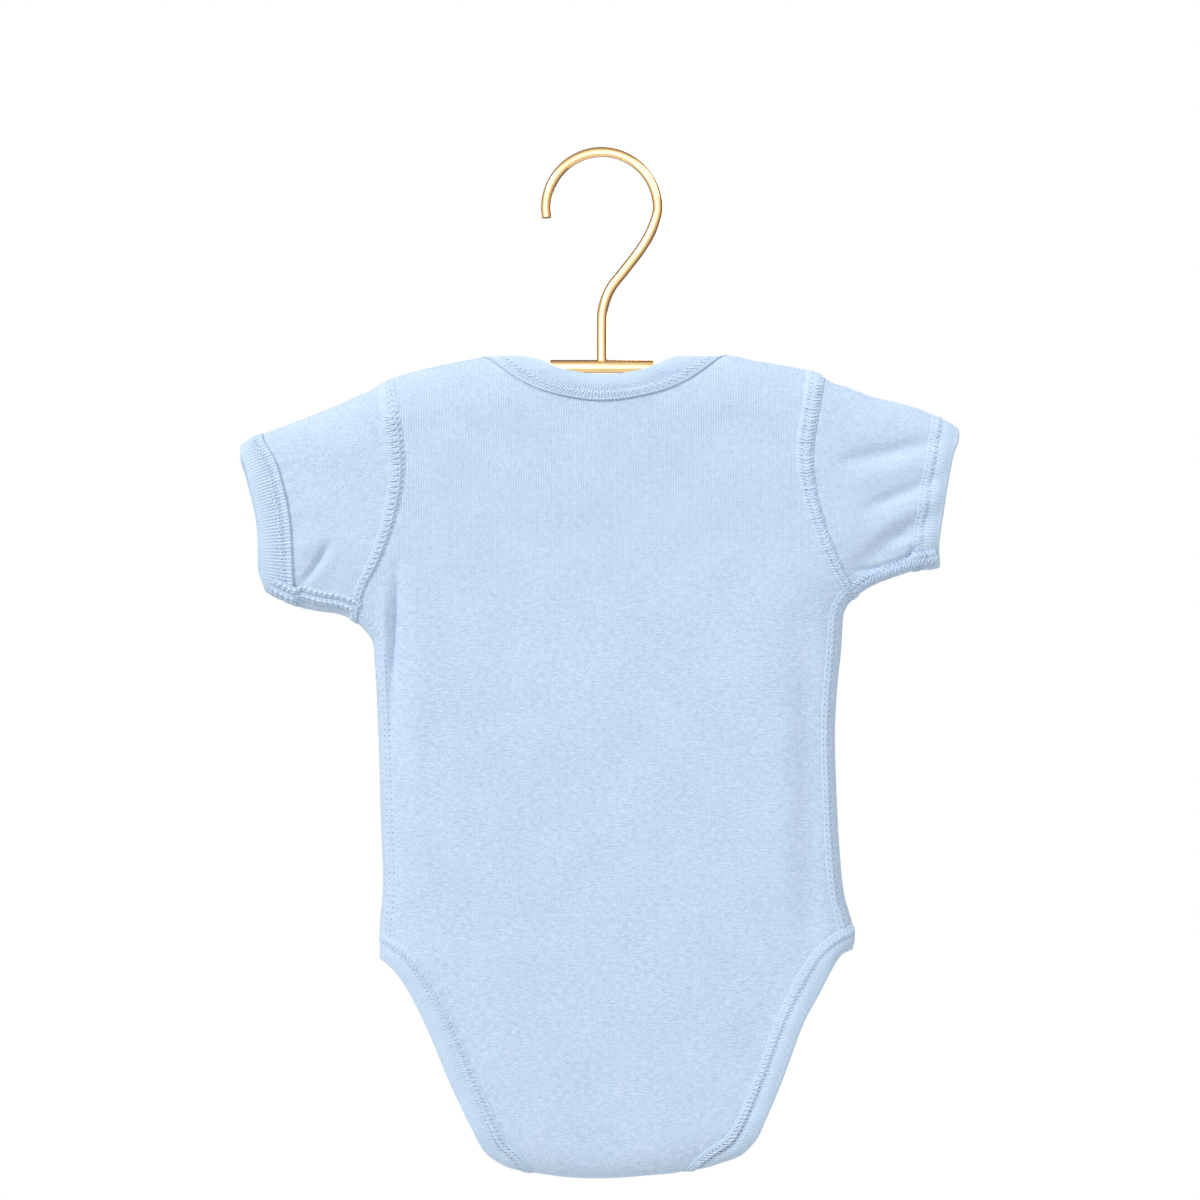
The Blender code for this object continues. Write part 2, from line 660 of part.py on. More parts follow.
class Sleeve:
    """Station lines that run across a sleeve, from its top fold to its lower fold."""

    def __init__(self, side):
        self.side = side
        self.top, self.low = TOP[side], SIDE[side]
        self.armhole = smooth(ARMHOLE[side])
        self.cuff = smooth(CUFF[side])
        self.band = CUFF_BAND_LEFT if side == "left" else CUFF_BAND_RIGHT
        self.skew = CUFF_SKEW if side == "left" else CUFF_SKEW_RIGHT
        self.ends = {}
        for name, line in (("armhole", self.armhole), ("cuff", self.cuff)):
            self.ends[name] = (self.top.where(line[0]), self.low.where(line[-1]))

    def line(self, share, back_off):
        """A station line at a share of the way to the cuff, or a distance back from it."""
        ends = []
        for fold, first, last in zip((self.top, self.low), self.ends["armhole"], self.ends["cuff"]):
            way = math.copysign(1.0, last - first)
            start, stop = first + way * SEAM_GAP, last - way * self.band
            here = last - way * back_off if share is None else start + (stop - start) * share
            ends.append(at(fold.line, np.array([here]))[0])
        top, low = ends
        t = np.linspace(0, 1, LINE_POINTS)[:, None]
        bow = []
        for model in (self.armhole, self.cuff):
            points = spread(model, t[:, 0])
            bow.append(points - (points[0] * (1 - t) + points[-1] * t))
        blend = 1.0 if share is None else share
        return top * (1 - t) + low * t + bow[0] * (1 - blend) + bow[1] * blend

    def nodes(self, line, top_steps, side_steps):
        """Places along a station line: given stretches of cloth from each fold, even between."""
        total = length(line)
        down = [self.inward(self.top, line[0], past) for past in top_steps]
        up = [total - self.inward(self.low, line[-1], past) for past in side_steps]
        middle = np.linspace(down[-1], up[-1], MIDDLE_STEPS + 1)[1:-1]
        return at(line, np.array(down + list(middle) + up[::-1]))

    @staticmethod
    def inward(fold, place, past):
        slack = fold.slack(place[None])[0]
        return math.sqrt(past ** 2 + slack ** 2) - slack

    def plan(self, places):
        """Flattens places on the folded sleeve to its plan."""
        return self.top.flatten(self.low.flatten(places))

    def ring(self, share, back_off=0.0):
        """Plan points once round the sleeve: down the back and up the front."""
        places = self.nodes(self.line(share, back_off), TOP_STEPS, SIDE_STEPS)
        blend = 1.0 if share is None else share
        out = np.array((-1.0 if self.side == "left" else 1.0, 0.12))
        from_fold = np.minimum(arcs(places), length(places) - arcs(places))
        fade = np.clip(from_fold / SKEW_FADE, 0, 1)
        fade = fade * fade * (3 - 2 * fade)
        front = places + out * (self.skew * blend * fade)[:, None]
        return self.plan(places), self.plan(front)[-2:0:-1]

    def armhole_plan(self, top_steps, side_steps):
        """Plan points down the armhole edge of the body."""
        return self.plan(self.nodes(self.armhole, top_steps, side_steps))


def ring_surface(ring, level):
    back, front = ring
    return np.vstack((surface(back, BACK, np.full(len(back), level)),
                      surface(front, FRONT, np.full(len(front), level))))


def add_sleeve(sleeve, material):
    """Makes one sleeve, an open tube, and the binding round its cuff."""
    rows = [sleeve.ring(share) for share in SLEEVE_SHARES]
    rows += [sleeve.ring(None, sleeve.band / 2), sleeve.ring(None, 0.0)]
    outer = [ring_surface(row, 0.0) for row in rows]
    under = [ring_surface(row, -CLOTH) for row in rows]
    size = len(outer[0])
    loop = outer + under[::-1]
    faces = []
    for r in range(len(loop)):
        here, there = r * size, (r + 1) % len(loop) * size
        toward_cuff = r < len(rows) - 1
        for i in range(size):
            j = (i + 1) % size
            if toward_cuff:
                faces += [(here + i, here + j, there + i), (here + j, there + j, there + i)]
            else:
                faces += [(here + i, here + j, there + j), (here + i, there + j, there + i)]
    add_object(f"sleeve_{sleeve.side}", np.vstack(loop), faces, material)

    strip = rows[:2:-1]
    rings = []
    for face, pick in ((BACK, 0), (FRONT, 1)):
        grid = np.array([row[pick] for row in strip])
        rings.append(binding_points(grid, face, lambda plan: np.zeros(len(plan))))
    return np.vstack(rings)


# ---------------------------------------------------------------- the body's outline
def neck_grid(cut, face, sleeves, offsets):
    """The strip under a neck binding, which ends on both armholes."""
    path = smooth(cut)
    rows = []
    for row in strip_rows(path, -1, offsets):
        ends = []
        third = len(row) // 3
        for side, part in (("left", slice(0, third)), ("right", slice(-third, None))):
            armhole = armhole_line(sleeves[side], face)
            stretch = row[part]
            gap = cross_side(armhole, stretch)
            turn = np.nonzero(np.sign(gap[:-1]) != np.sign(gap[1:]))[0]
            turn = turn[-1] if side == "left" else turn[0]
            share = gap[turn] / (gap[turn] - gap[turn + 1])
            offset = 0 if side == "left" else len(row) - len(stretch)
            along = arcs(row)
            ends.append(along[offset + turn] * (1 - share) + along[offset + turn + 1] * share)
        rows.append(trimmed(row, *ends))
    stops = [()] * len(rows)
    if face == BACK:
        stops = [fold_stops(row, TOP["left"], CREST_STOPS)
                 + fold_stops(row, TOP["right"], CREST_STOPS, backwards=True) for row in rows]
    return grid_between(rows, stops, NECK_SPACING)


def armhole_line(sleeve, face):
    """The armhole's edge in one face's plan, carried on past the shoulder fold for the laps."""
    edge = sleeve.plan(spread(sleeve.armhole, np.linspace(0, 1, ARMHOLE_POINTS)))
    if face == FRONT:
        return edge
    beyond = sleeve.top.other_plan(edge[:2 * ARMHOLE_POINTS // 3])
    return np.vstack((beyond[:0:-1], edge))


def cross_side(line, points):
    """Signed distance of points from a line."""
    near, _, gap = nearest(line, points)
    run = np.diff(line, axis=0)[near]
    return np.sign(run[:, 0] * gap[:, 1] - run[:, 1] * gap[:, 0]) * np.linalg.norm(gap, axis=1)


def leg_grids(side):
    """The strips under a leg binding: on the back panel, and on the front panel's plan."""
    path = smooth(LEG[side])
    sign = -1 if side == "left" else 1
    back_rows, front_rows = [], []
    for row in strip_rows(path, sign, (0, LEG_BAND / 2, LEG_BAND)):
        past = SIDE[side].past(row)
        seam = SEAM_PAST
        split_back = crossing(row, past, seam + SEAM_GAP / 2)
        split_front = crossing(row, past, seam - SEAM_GAP / 2)
        above_crotch = CROTCH.past(SIDE[side].carry(row)[0])
        tab_end = crossing(row[::-1], above_crotch[::-1], TAB_PAST)
        back_rows.append(trimmed(row, 0, split_back))
        front_rows.append(trimmed(row, split_front, length(row) - tab_end))
    back_stops = [fold_stops(row, CROTCH, CREST_STOPS)
                  + fold_stops(row, SIDE[side], INNER_STOPS[::-1]) for row in back_rows]
    front_stops = [fold_stops(row, SIDE[side], SIDE_STOPS) for row in front_rows]
    return (grid_between(back_rows, back_stops, EDGE_SPACING),
            grid_between(front_rows, front_stops, EDGE_SPACING))


def to_other_plan(grid, fold):
    return fold.other_plan(grid.reshape(-1, 2)).reshape(grid.shape)


def lap_edge(sleeve, grid, side):
    """The armhole edge of a shoulder lap: strip ends first, then on to the shoulder fold."""
    ends = grid[:, 0] if side == "left" else grid[:, -1]
    past = sleeve.top.past(ends)
    line = armhole_line(sleeve, BACK)
    line_past = sleeve.top.past(line)
    steps = [step for step in LAP_STOPS if step > past[-1] + 3]
    order = np.argsort(line_past)
    stops = [np.interp(step, line_past[order], arcs(line)[order]) for step in steps]
    return ends, at(line, np.array(stops)) if stops else np.zeros((0, 2))


def snap_rings(place):
    """The edge of a snap's hole, and points round its cap, on the folded cloth."""
    turn = np.linspace(0, 2 * math.pi, 10, endpoint=False)
    circle = np.stack((np.cos(turn), np.sin(turn)), -1)
    return place + SNAP_HOLE_RADIUS * circle, place + (SNAP_CAP_RADIUS + SNAP_COLLAR) * circle[::2]


def fill_groups(face, rows, outline):
    """Points that fill a panel, with their least distances to its edge and to each other."""
    return ((np.vstack(rows), 1.6, 1.9), (crease_points(face, CREASE_SPACING), 3.0, 2.6),
            (honeycomb(outline, PANEL_SPACING), 5.0, 7.0))


def back_panel(sleeves, neck, legs, snaps, material):
    """The back panel's outline, in order round its plan, and its fill."""
    edges = {}
    for side in ("left", "right"):
        ends, lap = lap_edge(sleeves[side], neck, side)
        seam = SEAM_PAST + SEAM_GAP / 2
        armhole = sleeves[side].armhole_plan(TOP_STEPS, (seam, *INNER_STOPS))
        strip = legs[side][0]
        side_line = SIDE[side].row(seam, sleeves[side].armhole[-1], strip[-1, -1],
                                   EDGE_SPACING + 1)
        edges[side] = (ends[1:], lap, armhole, side_line[1:-1], strip[:, -1][::-1], strip[0][::-1][1:])
    left = np.vstack(edges["left"])
    right = np.vstack(edges["right"])
    flap_ends = [legs[side][0][1:, 0] for side in ("left", "right")]
    across = np.linspace(flap_ends[0][-1], flap_ends[1][-1], 8)[1:-1]
    outline = np.vstack((neck[0][::-1], left, flap_ends[0], across, flap_ends[1][::-1],
                         right[::-1]))
    rows = []
    for side in ("left", "right"):
        sleeve = sleeves[side]
        by_neck = (-34.0 if side == "left" else 34.0, -90.0)
        for past in TOP_ROWS:
            rows.append(sleeve.top.row(past, sleeve.armhole[0], by_neck, PANEL_SPACING - 2))
        for past in BACK_SIDE_ROWS:
            rows.append(SIDE[side].row(past, sleeve.armhole[-1], legs[side][0][-1, -1],
                                       EDGE_SPACING + 1))
    for past in CROTCH_ROWS:
        rows.append(CROTCH.row(past, (-52, -470), (56, -470), FLAP_SPACING))
    holes = [[CROTCH.other_plan(CROTCH.flatten(ring)) for ring in snap_rings(place)]
             for place in snaps]
    strips = [neck, legs["left"][0], legs["right"][0]]
    add_panel("back_panel", BACK, outline, strips, fill_groups(BACK, rows, outline), holes, material)


def front_panel(sleeves, neck, legs, snaps, material):
    """The front panel's outline, in order round its plan, and its fill."""
    edges = {}
    for side in ("left", "right"):
        sleeve, fold = sleeves[side], SIDE[side]
        seam = SEAM_PAST - SEAM_GAP / 2
        ends = neck[1:, 0] if side == "left" else neck[1:, -1]
        start = sleeve.top.past(ends[-1:])[0] + EDGE_SPACING / 2
        edge = sleeve.armhole_plan((start,), SIDE_STEPS[:3] + INNER_STOPS)
        wrap = sleeve.armhole_plan((start,), (*SIDE_STEPS[1:3], seam))[-3:][::-1]
        beyond = fold.other_plan(wrap)
        strip = to_other_plan(legs[side][1], fold)
        side_line = fold.row(-seam, sleeve.armhole[-1], legs[side][0][-1, -1], EDGE_SPACING + 1)
        edges[side] = (ends, edge, beyond, side_line[1:-1], strip[:, 0][::-1], strip[0][1:])
    tab_ends = [to_other_plan(legs[side][1], SIDE[side])[1:, -1] for side in ("left", "right")]
    across = CROTCH.row(TAB_PAST, tab_ends[0][-1], tab_ends[1][-1], PANEL_SPACING)[1:-1]
    outline = np.vstack((neck[0][::-1], np.vstack(edges["left"]), tab_ends[0], across,
                         tab_ends[1][::-1], np.vstack(edges["right"])[::-1]))
    rows = []
    for side in ("left", "right"):
        sleeve = sleeves[side]
        for past in FRONT_SIDE_ROWS:
            rows.append(SIDE[side].row(past, sleeve.armhole[-1], legs[side][1][-1, 0],
                                       EDGE_SPACING + 1))
    holes = [[CROTCH.flatten(ring) for ring in snap_rings(place)] for place in snaps]
    strips = [neck] + [to_other_plan(legs[side][1], SIDE[side]) for side in ("left", "right")]
    add_panel("front_panel", FRONT, outline, strips, fill_groups(FRONT, rows, outline), holes,
              material)


# ---------------------------------------------------------------- hard pieces
def turned(name, profile, centre, material, sides=12):
    """A solid of revolution about a line along Y, from (radius, y) corners."""
    rings = []
    for radius, depth in profile:
        turn = np.linspace(0, 2 * math.pi, sides, endpoint=False)
        rings.append(np.stack((centre[0] + radius * np.cos(turn), np.full(sides, depth),
                               centre[1] + radius * np.sin(turn)), -1))
    return add_object(name, np.vstack(rings), tube_faces(len(rings), sides, False), material)


def add_snap(name, place, material):
    """A closed snap: its cap, its post through both layers, and the back of its socket."""
    face = HALF_DEPTH
    tab_under = face - CLOTH
    flap_top = face - FLAP_SINK
    flap_under = flap_top - CLOTH
    cap, post, middle = SNAP_CAP_RADIUS, SNAP_POST_RADIUS, SNAP_MIDDLE_RADIUS
    profile = ((cap - SNAP_BEVEL, face + SNAP_CAP_HEIGHT), (cap, face + SNAP_RIM_HEIGHT),
               (cap, face + SEAM_GAP), (post, face + SEAM_GAP), (post, tab_under - SEAM_GAP),
               (middle, tab_under - SEAM_GAP), (middle, flap_top + SEAM_GAP),
               (post, flap_top + SEAM_GAP), (post, flap_under - SEAM_GAP),
               (cap, flap_under - SEAM_GAP),
               (cap - SNAP_BEVEL / 2, flap_under - SEAM_GAP - SNAP_RIM_HEIGHT))
    turned(name, profile, place, material)


def wire(name, route, diameter, resolution, material):
    """A round wire with flat ends along a list of (x, z) points."""
    curve = bpy.data.curves.new(name, "CURVE")
    curve.dimensions = "3D"
    curve.bevel_depth = diameter / 2 * MM
    curve.bevel_resolution = resolution
    curve.use_fill_caps = True
    spline = curve.splines.new("POLY")
    spline.points.add(len(route) - 1)
    for point, (x, z) in zip(spline.points, route):
        point.co = (x * MM, 0.0, z * MM, 1.0)
    curve.materials.append(material)
    body = bpy.data.objects.new(name, curve)
    bpy.context.scene.collection.objects.link(body)
    return body


def hook_route():
    """Up from the free end, round the peg, and down into the bar."""
    centre = HOOK_RADIUS - WIRE / 2
    turns = np.radians(np.arange(*HOOK_TURN))
    arc = [(HOOK_RADIUS * math.cos(turn), -centre + HOOK_RADIUS * math.sin(turn))
           for turn in turns]
    foot = (0.0, BAR_HEIGHT + BAR / 2 + SEAM_GAP)
    stem = smooth(arc[-2:] + [*STEM, foot], 4.0)
    return arc[:-1] + [tuple(point) for point in stem[1:]]


def add_hanger(brass):
    wire("hanger_hook", hook_route(), WIRE, 3, brass)
    bpy.ops.mesh.primitive_cylinder_add(
        vertices=24, radius=BAR / 2 * MM, depth=2 * BAR_HALF_LENGTH * MM,
        location=(0, 0, BAR_HEIGHT * MM), rotation=(0, math.pi / 2, 0))
    bar = bpy.context.object
    bar.name = "hanger_bar"
    bar.data.name = "hanger_bar"
    bar.data.materials.append(brass)
    bar.data.shade_smooth()
    bar.data.set_sharp_from_angle(angle=math.radians(40))
    for side, tip in ROD_TIP.items():
        way = math.copysign(1.0, tip[0])
        route = [(way * (BAR_HALF_LENGTH + SEAM_GAP), BAR_HEIGHT - 0.8)]
        route += [(way * out, BAR_HEIGHT + drop) for out, drop in ROD_KNEE]
        knee = np.array(route[-1])
        route += [tuple(knee + (tip - knee) * share) for share in ROD_SHARES]
        wire(f"hanger_rod_{side}", route, ROD, 2, brass)


# ---------------------------------------------------------------- the whole garment
def build():
    for old in list(bpy.data.objects):
        bpy.data.objects.remove(old, do_unlink=True)
    jersey = colour_material("jersey", (0.57, 0.72, 0.90), 0.9)
    rib = colour_material("rib", (0.54, 0.69, 0.88), 0.9)
    snap_metal = colour_material("snap", (0.80, 0.82, 0.84), 0.35, 0.9)
    brass = colour_material("brass", (0.80, 0.60, 0.30), 0.25, 1.0)

    sleeves = {side: Sleeve(side) for side in ("left", "right")}
    for side, sleeve in sleeves.items():
        add_binding(f"cuff_binding_{side}", add_sleeve(sleeve, jersey), 3, rib, closed=True)

    back_neck = neck_grid(BACK_NECK, BACK, sleeves, (0, 2.6, 7.2, NECK_BAND))
    front_neck = neck_grid(FRONT_NECK, FRONT, sleeves, (0, NECK_BAND / 2, NECK_BAND))
    add_binding("back_neck_binding", binding_points(back_neck, BACK, back_level), 4, rib)
    add_binding("front_neck_binding", binding_points(front_neck, FRONT, front_level), 3, rib)

    legs = {side: leg_grids(side) for side in ("left", "right")}
    for side, (back, front) in legs.items():
        rings = (binding_points(back, BACK, back_level),
                 binding_points(to_other_plan(front, SIDE[side]), FRONT, front_level))
        add_binding(f"leg_binding_{side}", np.vstack(rings), 3, rib)

    snap_places = [SNAP_MIDDLE + np.array((index * SNAP_SPACING, abs(index) * SNAP_LIFT))
                   for index in (-1, 0, 1)]
    back_panel(sleeves, back_neck, legs, snap_places, jersey)
    front_panel(sleeves, front_neck, legs, snap_places, jersey)
    for name, place in zip(("snap_left", "snap_middle", "snap_right"), snap_places):
        add_snap(name, place, snap_metal)
    add_hanger(brass)


build()
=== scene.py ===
# %% [markdown]
# # A short-sleeved baby bodysuit on a small brass hanger
# The bodysuit is sewn from fine cotton knit. A back piece runs over both shoulders and laps
# over the front, ribbed strips bind every open edge, and it hangs flat from a wire hanger.
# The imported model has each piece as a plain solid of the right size. This lesson dresses it:
# each soft solid is replaced by a finer shell on the same form, with creases, ribs and
# sewing, and every surface gets its finish. Nothing is moved or resized.

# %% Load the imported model
from collections import namedtuple
from math import ceil, copysign, cos, hypot, pi, radians, sin, sqrt

import bmesh
import bpy
import numpy as np
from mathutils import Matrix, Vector
from mathutils.geometry import delaunay_2d_cdt
from mathutils.kdtree import KDTree


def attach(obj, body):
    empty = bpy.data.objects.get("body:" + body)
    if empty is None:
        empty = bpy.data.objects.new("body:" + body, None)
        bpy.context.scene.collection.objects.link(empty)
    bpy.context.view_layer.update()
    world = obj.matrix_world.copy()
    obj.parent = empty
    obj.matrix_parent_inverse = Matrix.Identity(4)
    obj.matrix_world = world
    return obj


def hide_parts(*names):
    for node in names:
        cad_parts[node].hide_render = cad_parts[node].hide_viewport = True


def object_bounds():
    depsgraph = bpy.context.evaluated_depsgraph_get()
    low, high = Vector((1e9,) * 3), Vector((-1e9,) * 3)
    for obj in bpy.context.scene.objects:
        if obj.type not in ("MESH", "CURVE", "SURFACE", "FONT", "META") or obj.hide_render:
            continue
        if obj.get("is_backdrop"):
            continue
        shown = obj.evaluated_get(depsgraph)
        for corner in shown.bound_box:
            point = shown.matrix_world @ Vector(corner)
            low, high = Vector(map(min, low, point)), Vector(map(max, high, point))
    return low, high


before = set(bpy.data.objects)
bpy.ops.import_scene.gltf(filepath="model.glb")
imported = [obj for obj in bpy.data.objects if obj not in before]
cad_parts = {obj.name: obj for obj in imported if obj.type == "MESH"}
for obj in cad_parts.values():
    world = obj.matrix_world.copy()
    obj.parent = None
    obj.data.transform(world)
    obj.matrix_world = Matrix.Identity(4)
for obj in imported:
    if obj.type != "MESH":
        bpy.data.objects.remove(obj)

solid_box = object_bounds()
bpy.ops.object.select_all(action="DESELECT")
print("nodes:", len(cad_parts), "box:", [np.round(corner, 4) for corner in solid_box])

# %% [markdown]
# ## Sizes
# Cloth is cut flat, so this lesson works in two places at once. The plan is the flat cut, in
# millimetres, seen from behind. The folded cloth is the plan carried round the shoulders,
# sides and crotch. Working in the plan lets the knit's wales bend with the cloth, and puts
# each stitch where a sewing machine would. The sizes repeat those that the solids were built
# from, and the last cell prints the boxes of both.

# %% Sizes in millimetres
MM = 0.001
TURN = 2 * pi
BACK, FRONT = -1, 1
SIDES = ("left", "right")
OUTWARD = {"left": -1, "right": 1}      # the way along X, away from the middle
END = {"left": 0, "right": -1}          # the station where a neck strip ends
CLOTH = 1.1             # thickness of the jersey
SEAM_GAP = 0.3          # free space between two pieces that are sewn together
EDGE_GAP = 0.55         # free space between a raw edge and the fold of its binding
RIB = 1.0               # thickness of one leg of a folded rib binding
HALF_DEPTH = 9.5        # middle of the garment to the outside of its back or front
CUFF_HALF_DEPTH = 7.0
BOUND_DEPTH = 4.1       # how deep a panel lies under its neighbour's bound edge
TAPER_START, TAPER = 105.0, 60.0    # where the depth lessens towards the cuffs, and over how far
SHOULDER_ROUND, SIDE_ROUND, CROTCH_ROUND = 25.0, 35.0, 20.0
SEAM_WRAP = 4.7         # side seams lie on the back, this far in from the side fold
# A binding's width, its needle rows from the inner edge, its stitch, how much of its thickness
# its inner edge keeps, how dark the painted shadow in the gap under that edge is, how strong its
# ribs are, and how far its needle pits have closed up.
Band = namedtuple("Band", "width needles stitch edge gap ribs closed")
NECK_BAND = {"back": Band(12.6, (1.1, 4.95), 2.65, 0.8, 0.5, 0.85, 0.2),
             "front": Band(12.6, (1.1, 4.95), 2.65, 0.7, 0.4, 0.85, 0.2)}
LEG_BAND = {"left": Band(11.0, (1.2, 4.7), 2.0, 0.3, 0.0, 0.45, 0.6),
            "right": Band(11.0, (1.2, 4.7), 2.0, 0.5, 0.0, 0.55, 0.55)}
CUFF_BAND = {"left": Band(14.0, (2.9, 6.5), 2.65, 0.9, 0.6, 1.0, 0.06),
             "right": Band(11.5, (0.9, 4.5), 2.65, 0.4, 0.0, 0.5, 0.05)}
CUFF_LEAN = {"left": 0.28, "right": 0.0}    # slant of a cuff's ribs halfway down
LEG_PULL = 1.2          # sewing pulls the leg edges in by this much
CUFF_SKEW = {"left": 2.7, "right": 0.8}     # how far a cuff's front layer shows past its back
SKEW_FADE = 12.0
TAB_CLEAR = 12.0        # crotch fold up to the front tab's lower edge
BODY_MIDDLE = (3.0, -230.0)

PLAN_STEP = 1.0         # spacing of the points on a curve of the plan
WEB = 2.0               # spacing of the points that fill a panel
EDGE_WEB = 1.5          # and of those along its edge
CREASE_WEB = 0.7        # and of those along a sharp crease
SLEEVE_WEB, SLEEVE_STEP = 1.05, 1.25
RIB_PITCH = 1.3         # one rib and one groove of the binding
STATIONS = 4            # points for each rib
CURVE_SAMPLES = 24      # places worked out between two marks of a curve
print("jersey:", CLOTH, "mm thick, garment:", 2 * HALF_DEPTH, "mm deep")

# %% [markdown]
# ## Curves of the plan
# A pattern cutter draws an edge with a few marks and a flexible curve through them. A
# Catmull-Rom curve does the same: it passes through every mark. These helpers make such a
# curve, measure along it, and find the nearest point on it.

# %% Curve helpers
def smooth(marks, step=PLAN_STEP):
    """Evenly spaced points on a centripetal Catmull-Rom curve through the marks."""
    knots = np.array(marks, float)
    knots = np.vstack((2 * knots[0] - knots[1], knots, 2 * knots[-1] - knots[-2]))
    dense = []
    for p0, p1, p2, p3 in zip(knots, knots[1:], knots[2:], knots[3:]):
        t1 = np.linalg.norm(p1 - p0) ** 0.5
        t2 = t1 + np.linalg.norm(p2 - p1) ** 0.5
        t3 = t2 + np.linalg.norm(p3 - p2) ** 0.5
        t = np.linspace(t1, t2, CURVE_SAMPLES, endpoint=False)[:, None]
        a1 = ((t1 - t) * p0 + t * p1) / t1
        a2 = ((t2 - t) * p1 + (t - t1) * p2) / (t2 - t1)
        a3 = ((t3 - t) * p2 + (t - t2) * p3) / (t3 - t2)
        b1 = ((t2 - t) * a1 + t * a2) / t2
        b2 = ((t3 - t) * a2 + (t - t1) * a3) / (t3 - t1)
        dense.append(((t2 - t) * b1 + (t - t1) * b2) / (t2 - t1))
    dense = np.vstack(dense + [knots[-2:-1]])
    return even(dense, max(2, round(length(dense) / step)))


def sizes(vectors):
    """How long each vector is."""
    return np.linalg.norm(vectors, axis=1)


def arcs(line):
    """How far along a line each of its points lies."""
    return np.concatenate(([0.0], np.cumsum(sizes(np.diff(line, axis=0)))))


def length(line):
    """The whole length of a line."""
    return arcs(line)[-1]


def between(wanted, known, rows):
    """Rows read off at the wanted places, from rows at the known places."""
    return np.stack([np.interp(wanted, known, column) for column in rows.T], -1)


def at(line, distances):
    """The points at the given distances along a line."""
    return between(distances, arcs(line), line)


def even(line, steps, start=0.0, end=None):
    """Divides a line, or a stretch of it, into even steps."""
    end = length(line) if end is None else end
    return at(line, np.linspace(start, end, int(steps) + 1))


def unit(vectors):
    """The same directions, each one millimetre long."""
    return vectors / sizes(vectors)[:, None]


def sideways(line):
    """The unit normal to the left of each point of a line."""
    run = unit(np.gradient(line, axis=0))
    return np.stack((-run[:, 1], run[:, 0]), -1)


print("a curve over three marks, in mm:", round(length(smooth(((0, 0), (10, 4), (20, 0)))), 1))


# %% Nearest places and crossings
def nearest(line, points):
    """Each point's nearest segment of a line, the share along it and the gap to it."""
    tree = KDTree(len(line))
    for index, (x, z) in enumerate(line.tolist()):
        tree.insert((x, z, 0.0), index)
    tree.balance()
    close = np.array([tree.find((x, z, 0.0))[1] for x, z in points.tolist()])
    found = []
    for segment in (np.maximum(close - 1, 0), np.minimum(close, len(line) - 2)):
        run = line[segment + 1] - line[segment]
        reach = points - line[segment]
        share = np.clip((reach * run).sum(1) / np.maximum((run * run).sum(1), 1e-12), 0, 1)
        found.append((segment, share, reach - share[:, None] * run))
    before = sizes(found[0][2]) < sizes(found[1][2])
    pick = [np.where(before, a, b) for a, b in zip(found[0][:2], found[1][:2])]
    return pick[0], pick[1], np.where(before[:, None], found[0][2], found[1][2])


def crossing(line, values, target):
    """Distance along a line where its values first reach the target."""
    above = values - target
    turn = np.nonzero(np.sign(above[:-1]) != np.sign(above[1:]))[0][0]
    share = above[turn] / (above[turn] - above[turn + 1])
    along = arcs(line)
    return along[turn] + share * (along[turn + 1] - along[turn])


# %% [markdown]
# ## The cut
# These marks are the fold lines of the hanging garment and the raw edges of its pieces. Each
# row is a place (x, z) in millimetres from the inside top of the hook. The solids have the
# same marks, because the shells have to lie on them.

# %% Fold lines and cut lines
TOP_FOLD = {
    "left": ((10, -82), (-43, -92.6), (-71, -96.1), (-98, -103.3), (-118, -113.2),
        (-140, -122.2), (-156, -128), (-178, -137)),
    "right": ((-10, -82), (41, -92.8), (62, -93.6), (83, -96.7), (99, -100.2), (118, -108.4),
        (138, -114.3), (152, -119), (164, -126), (180, -137)),
}
SIDE_FOLD = {
    "left": ((-170, -195.5), (-157, -201.5), (-146, -206.8), (-133, -211.0), (-121, -213),
        (-113, -217.5), (-108, -224), (-106, -233), (-104.2, -262), (-102.8, -308),
        (-101.8, -338), (-103.6, -360), (-104.5, -380), (-104.5, -475)),
    "right": ((175, -186), (157, -189.8), (141, -193.0), (129, -197), (120, -202.8),
        (113.2, -210), (110.8, -222), (108.6, -250), (107.9, -275), (109.7, -317),
        (112, -342), (116.6, -358), (118, -375), (118, -475)),
}
CROTCH_FOLD = ((-85, -460), (-50, -467.6), (-28, -472.8), (-8, -474.8), (18, -473.8),
        (42, -469.6), (60, -466), (95, -458))
BACK_NECK = ((-118, -54.5), (-100, -57.5), (-82, -63), (-62, -71.5), (-47, -81), (-33, -92),
        (-20, -98.6), (0, -102.8), (20, -98.9), (34, -92.2), (50, -80), (64, -70.5),
        (84, -60.5), (101, -53.5), (117, -49))
FRONT_NECK = ((-112, -118.5), (-92, -112), (-73, -107.2), (-58, -108), (-46, -114.5),
        (-36, -125.5), (-22, -135), (0, -139.5), (22, -135), (36, -125.5), (46, -114.5),
        (58, -107), (73, -105.8), (92, -109.5), (112, -115.5))
LEG = {
    "left": ((-47.5, -520), (-46.5, -502), (-44.3, -487), (-43.6, -477), (-46.5, -470.8),
        (-54.2, -462.6), (-60, -450.5), (-70, -428.8), (-82, -401), (-92.4, -382.6),
        (-99.5, -375.2), (-107, -372.2), (-115, -373.4), (-125, -378.6), (-136, -390),
        (-146.5, -406), (-155, -426), (-159.8, -443), (-161, -457), (-161, -468)),
    "right": ((49, -520), (48.5, -502), (48.2, -487), (49.5, -477.5), (54.5, -471),
        (65.5, -462.5), (73, -451), (82.5, -428.8), (93, -401), (102.8, -382),
        (111, -372.6), (120, -368.6), (130, -369.8), (142, -376), (155, -388),
        (167.5, -405), (177, -425), (182.5, -443), (184, -457), (184, -468)),
}
